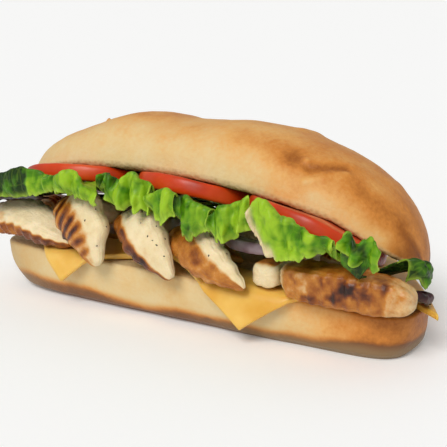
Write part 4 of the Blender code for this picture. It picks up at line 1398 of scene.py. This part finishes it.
class SANDWICH_OT_onion(bpy.types.Operator):
    """Makes the red onion arcs"""

    bl_idname = "sandwich.onion"
    bl_label = "Onion"

    def execute(self, context):
        tree = onion_tree()
        values = {
            "Start": math.radians(ONION_ARC[0]),
            "Sweep": math.radians(ONION_ARC[1] - ONION_ARC[0]),
            "Width": ONION_WIDTH * MM,
            "Height": ONION_HEIGHT * MM,
            "Material": raw_onion(context.scene.sandwich_filling),
        }
        for name, radius in ONION_RADII.items():
            values["Radius"] = radius * MM
            mesh = run_tree(name + "_arc", tree, bpy.data.meshes.new("empty"), values)
            mesh.transform(Matrix.Translation(Vector(to_scene(ONION_CENTRE))))
            mesh.shade_smooth()
            claim(add_object(name + "_arc", mesh), name)
        return {"FINISHED"}


def speck_tree():
    """A tree that scatters small uneven grains where the surface's own speck value allows."""
    tree, start = new_tree("scattered_specks", ("Density", "Size"))
    wanted = put(tree, "GeometryNodeInputNamedAttribute", [("Name", "speck")], data_type="FLOAT")
    inputs = [(0, wanted), (1, start["Density"])]
    amount = put(tree, "ShaderNodeMath", inputs, operation="MULTIPLY")
    inputs = [("Mesh", start["Geometry"]), ("Density", amount), ("Seed", 4)]
    points = put(tree, "GeometryNodeDistributePointsOnFaces", inputs)
    grain = put(tree, "GeometryNodeMeshIcoSphere", [("Radius", 0.5), ("Subdivisions", 1)])
    least = put(tree, "ShaderNodeMath", [(0, start["Size"]), (1, 0.45)], operation="MULTIPLY")
    inputs = [(2, least), (3, start["Size"]), ("Seed", 7)]
    size = put(tree, "FunctionNodeRandomValue", inputs, data_type="FLOAT").outputs[1]
    inputs = [(0, (0.0, 0.0, 0.0)), (1, (6.0, 6.0, 6.0)), ("Seed", 9)]
    turn = put(tree, "FunctionNodeRandomValue", inputs, data_type="FLOAT_VECTOR")
    inputs = [("Points", points), ("Instance", grain), ("Rotation", turn), ("Scale", size)]
    placed = put(tree, "GeometryNodeInstanceOnPoints", inputs)
    inputs = [("Instances", placed), ("Scale", (1.3, 0.9, 0.6))]
    flattened = put(tree, "GeometryNodeScaleInstances", inputs)
    return finish_tree(tree, flattened, start["Material"])


class SANDWICH_OT_pepper(bpy.types.Operator):
    """Scatters ground pepper on the chicken strips that show it"""

    bl_idname = "sandwich.pepper"
    bl_label = "Pepper"

    def execute(self, context):
        material = plain_material("ground_black_pepper", "#241a12", 0.7)
        tree = speck_tree()
        for name, density in PEPPERED.items():
            mesh = bpy.data.objects[name + "_strip"].data.copy()
            sear = np.empty(len(mesh.vertices), np.float32)
            mesh.attributes["sear"].data.foreach_get("value", sear)
            wanted = mesh.attributes.new("speck", "FLOAT", "POINT")
            wanted.data.foreach_set("value", (sear < MOST_PEPPERED_SEAR).astype(np.float32))
            values = {"Density": density, "Size": PEPPER_SIZE * MM, "Material": material}
            made = run_tree(name + "_pepper", tree, mesh, values)
            claim(add_object(name + "_pepper", made))
        return {"FINISHED"}


# Stage

FLOOR_REACH = 4.0
SUN_DIRECTION = (0.1, -0.72, 0.66)
SUN_SPREAD = math.radians(24.0)
SUN_STRENGTH = 1.9
SKY_STRENGTH = 0.5
LOOK_AT = (3.1, 0.0, 35.5)
PIXELS = 447
MM_PER_PIXEL = 0.4276
SENSOR_WIDTH = 36.0


class SANDWICH_OT_stage(bpy.types.Operator):
    """Makes the pale floor, the soft studio light and the camera"""

    bl_idname = "sandwich.stage"
    bl_label = "Stage"

    def execute(self, context):
        scene = context.scene
        settings = scene.sandwich_stage
        mesh = bpy.data.meshes.new("floor")
        signs = ((-1, -1), (1, -1), (1, 1), (-1, 1))
        mesh.from_pydata([(FLOOR_REACH * x, FLOOR_REACH * y, 0) for x, y in signs], [], [(0, 1, 2, 3)])
        mesh.materials.append(plain_material("matt_white_paint", settings.floor, 0.9, 0.1))
        floor = add_object("floor", mesh)
        world = bpy.data.worlds.new("studio_light")
        world.use_nodes = True
        background = world.node_tree.nodes["Background"]
        background.inputs["Color"].default_value = (1.0, 1.0, 1.0, 1.0)
        background.inputs["Strength"].default_value = SKY_STRENGTH
        scene.world = world
        sun = bpy.data.lights.new("key_light", "SUN")
        sun.energy = SUN_STRENGTH
        sun.angle = SUN_SPREAD
        turn = Vector(SUN_DIRECTION).to_track_quat("Z", "Y").to_euler()
        add_object("key_light", sun).rotation_euler = turn
        round_x, round_y = math.sin(settings.azimuth), -math.cos(settings.azimuth)
        level, up = math.cos(settings.elevation), math.sin(settings.elevation)
        back = Vector((round_x * level, round_y * level, up))
        right = Vector((-round_y, round_x, 0.0))
        place = Matrix((right, back.cross(right), back)).transposed().to_4x4()
        place.translation = Vector(to_scene(LOOK_AT)) + back * settings.distance
        lens = bpy.data.cameras.new("camera")
        lens.sensor_width = SENSOR_WIDTH
        lens.lens = SENSOR_WIDTH * settings.distance / (MM_PER_PIXEL * MM * PIXELS)
        lens.clip_start = 0.01
        scene.camera = add_object("camera", lens)
        scene.camera.matrix_world = place
        scene.view_settings.view_transform = "Standard"
        return {"FINISHED"}


STEPS = (
    SANDWICH_OT_bread,
    SANDWICH_OT_cheese,
    SANDWICH_OT_chicken,
    SANDWICH_OT_tomatoes,
    SANDWICH_OT_leaves,
    SANDWICH_OT_onion,
    SANDWICH_OT_pepper,
    SANDWICH_OT_stage,
)
GROUPS = {
    "sandwich_bread": BreadSettings,
    "sandwich_filling": FillingSettings,
    "sandwich_stage": StageSettings,
}


class SANDWICH_PT_panel(bpy.types.Panel):
    """Lists the sandwich's settings and steps"""

    bl_label = "Sandwich"
    bl_idname = "SANDWICH_PT_panel"
    bl_space_type = "VIEW_3D"
    bl_region_type = "UI"
    bl_category = "Sandwich"

    def draw(self, context):
        for key, group in GROUPS.items():
            box = self.layout.box()
            for name in group.__annotations__:
                box.prop(getattr(context.scene, key), name)
        for step in STEPS:
            self.layout.operator(step.bl_idname)


def register():
    for group in GROUPS.values():
        bpy.utils.register_class(group)
    for key, group in GROUPS.items():
        setattr(bpy.types.Scene, key, bpy.props.PointerProperty(type=group))
    for step in (*STEPS, SANDWICH_PT_panel):
        bpy.utils.register_class(step)


def unregister():
    for step in (SANDWICH_PT_panel, *STEPS[::-1]):
        bpy.utils.unregister_class(step)
    for key in GROUPS:
        delattr(bpy.types.Scene, key)
    for group in GROUPS.values():
        bpy.utils.unregister_class(group)


def main():
    register()
    for step in STEPS:
        group, name = step.bl_idname.split(".")
        getattr(getattr(bpy.ops, group), name)()
    bpy.context.view_layer.update()


if __name__ == "__main__":
    main()
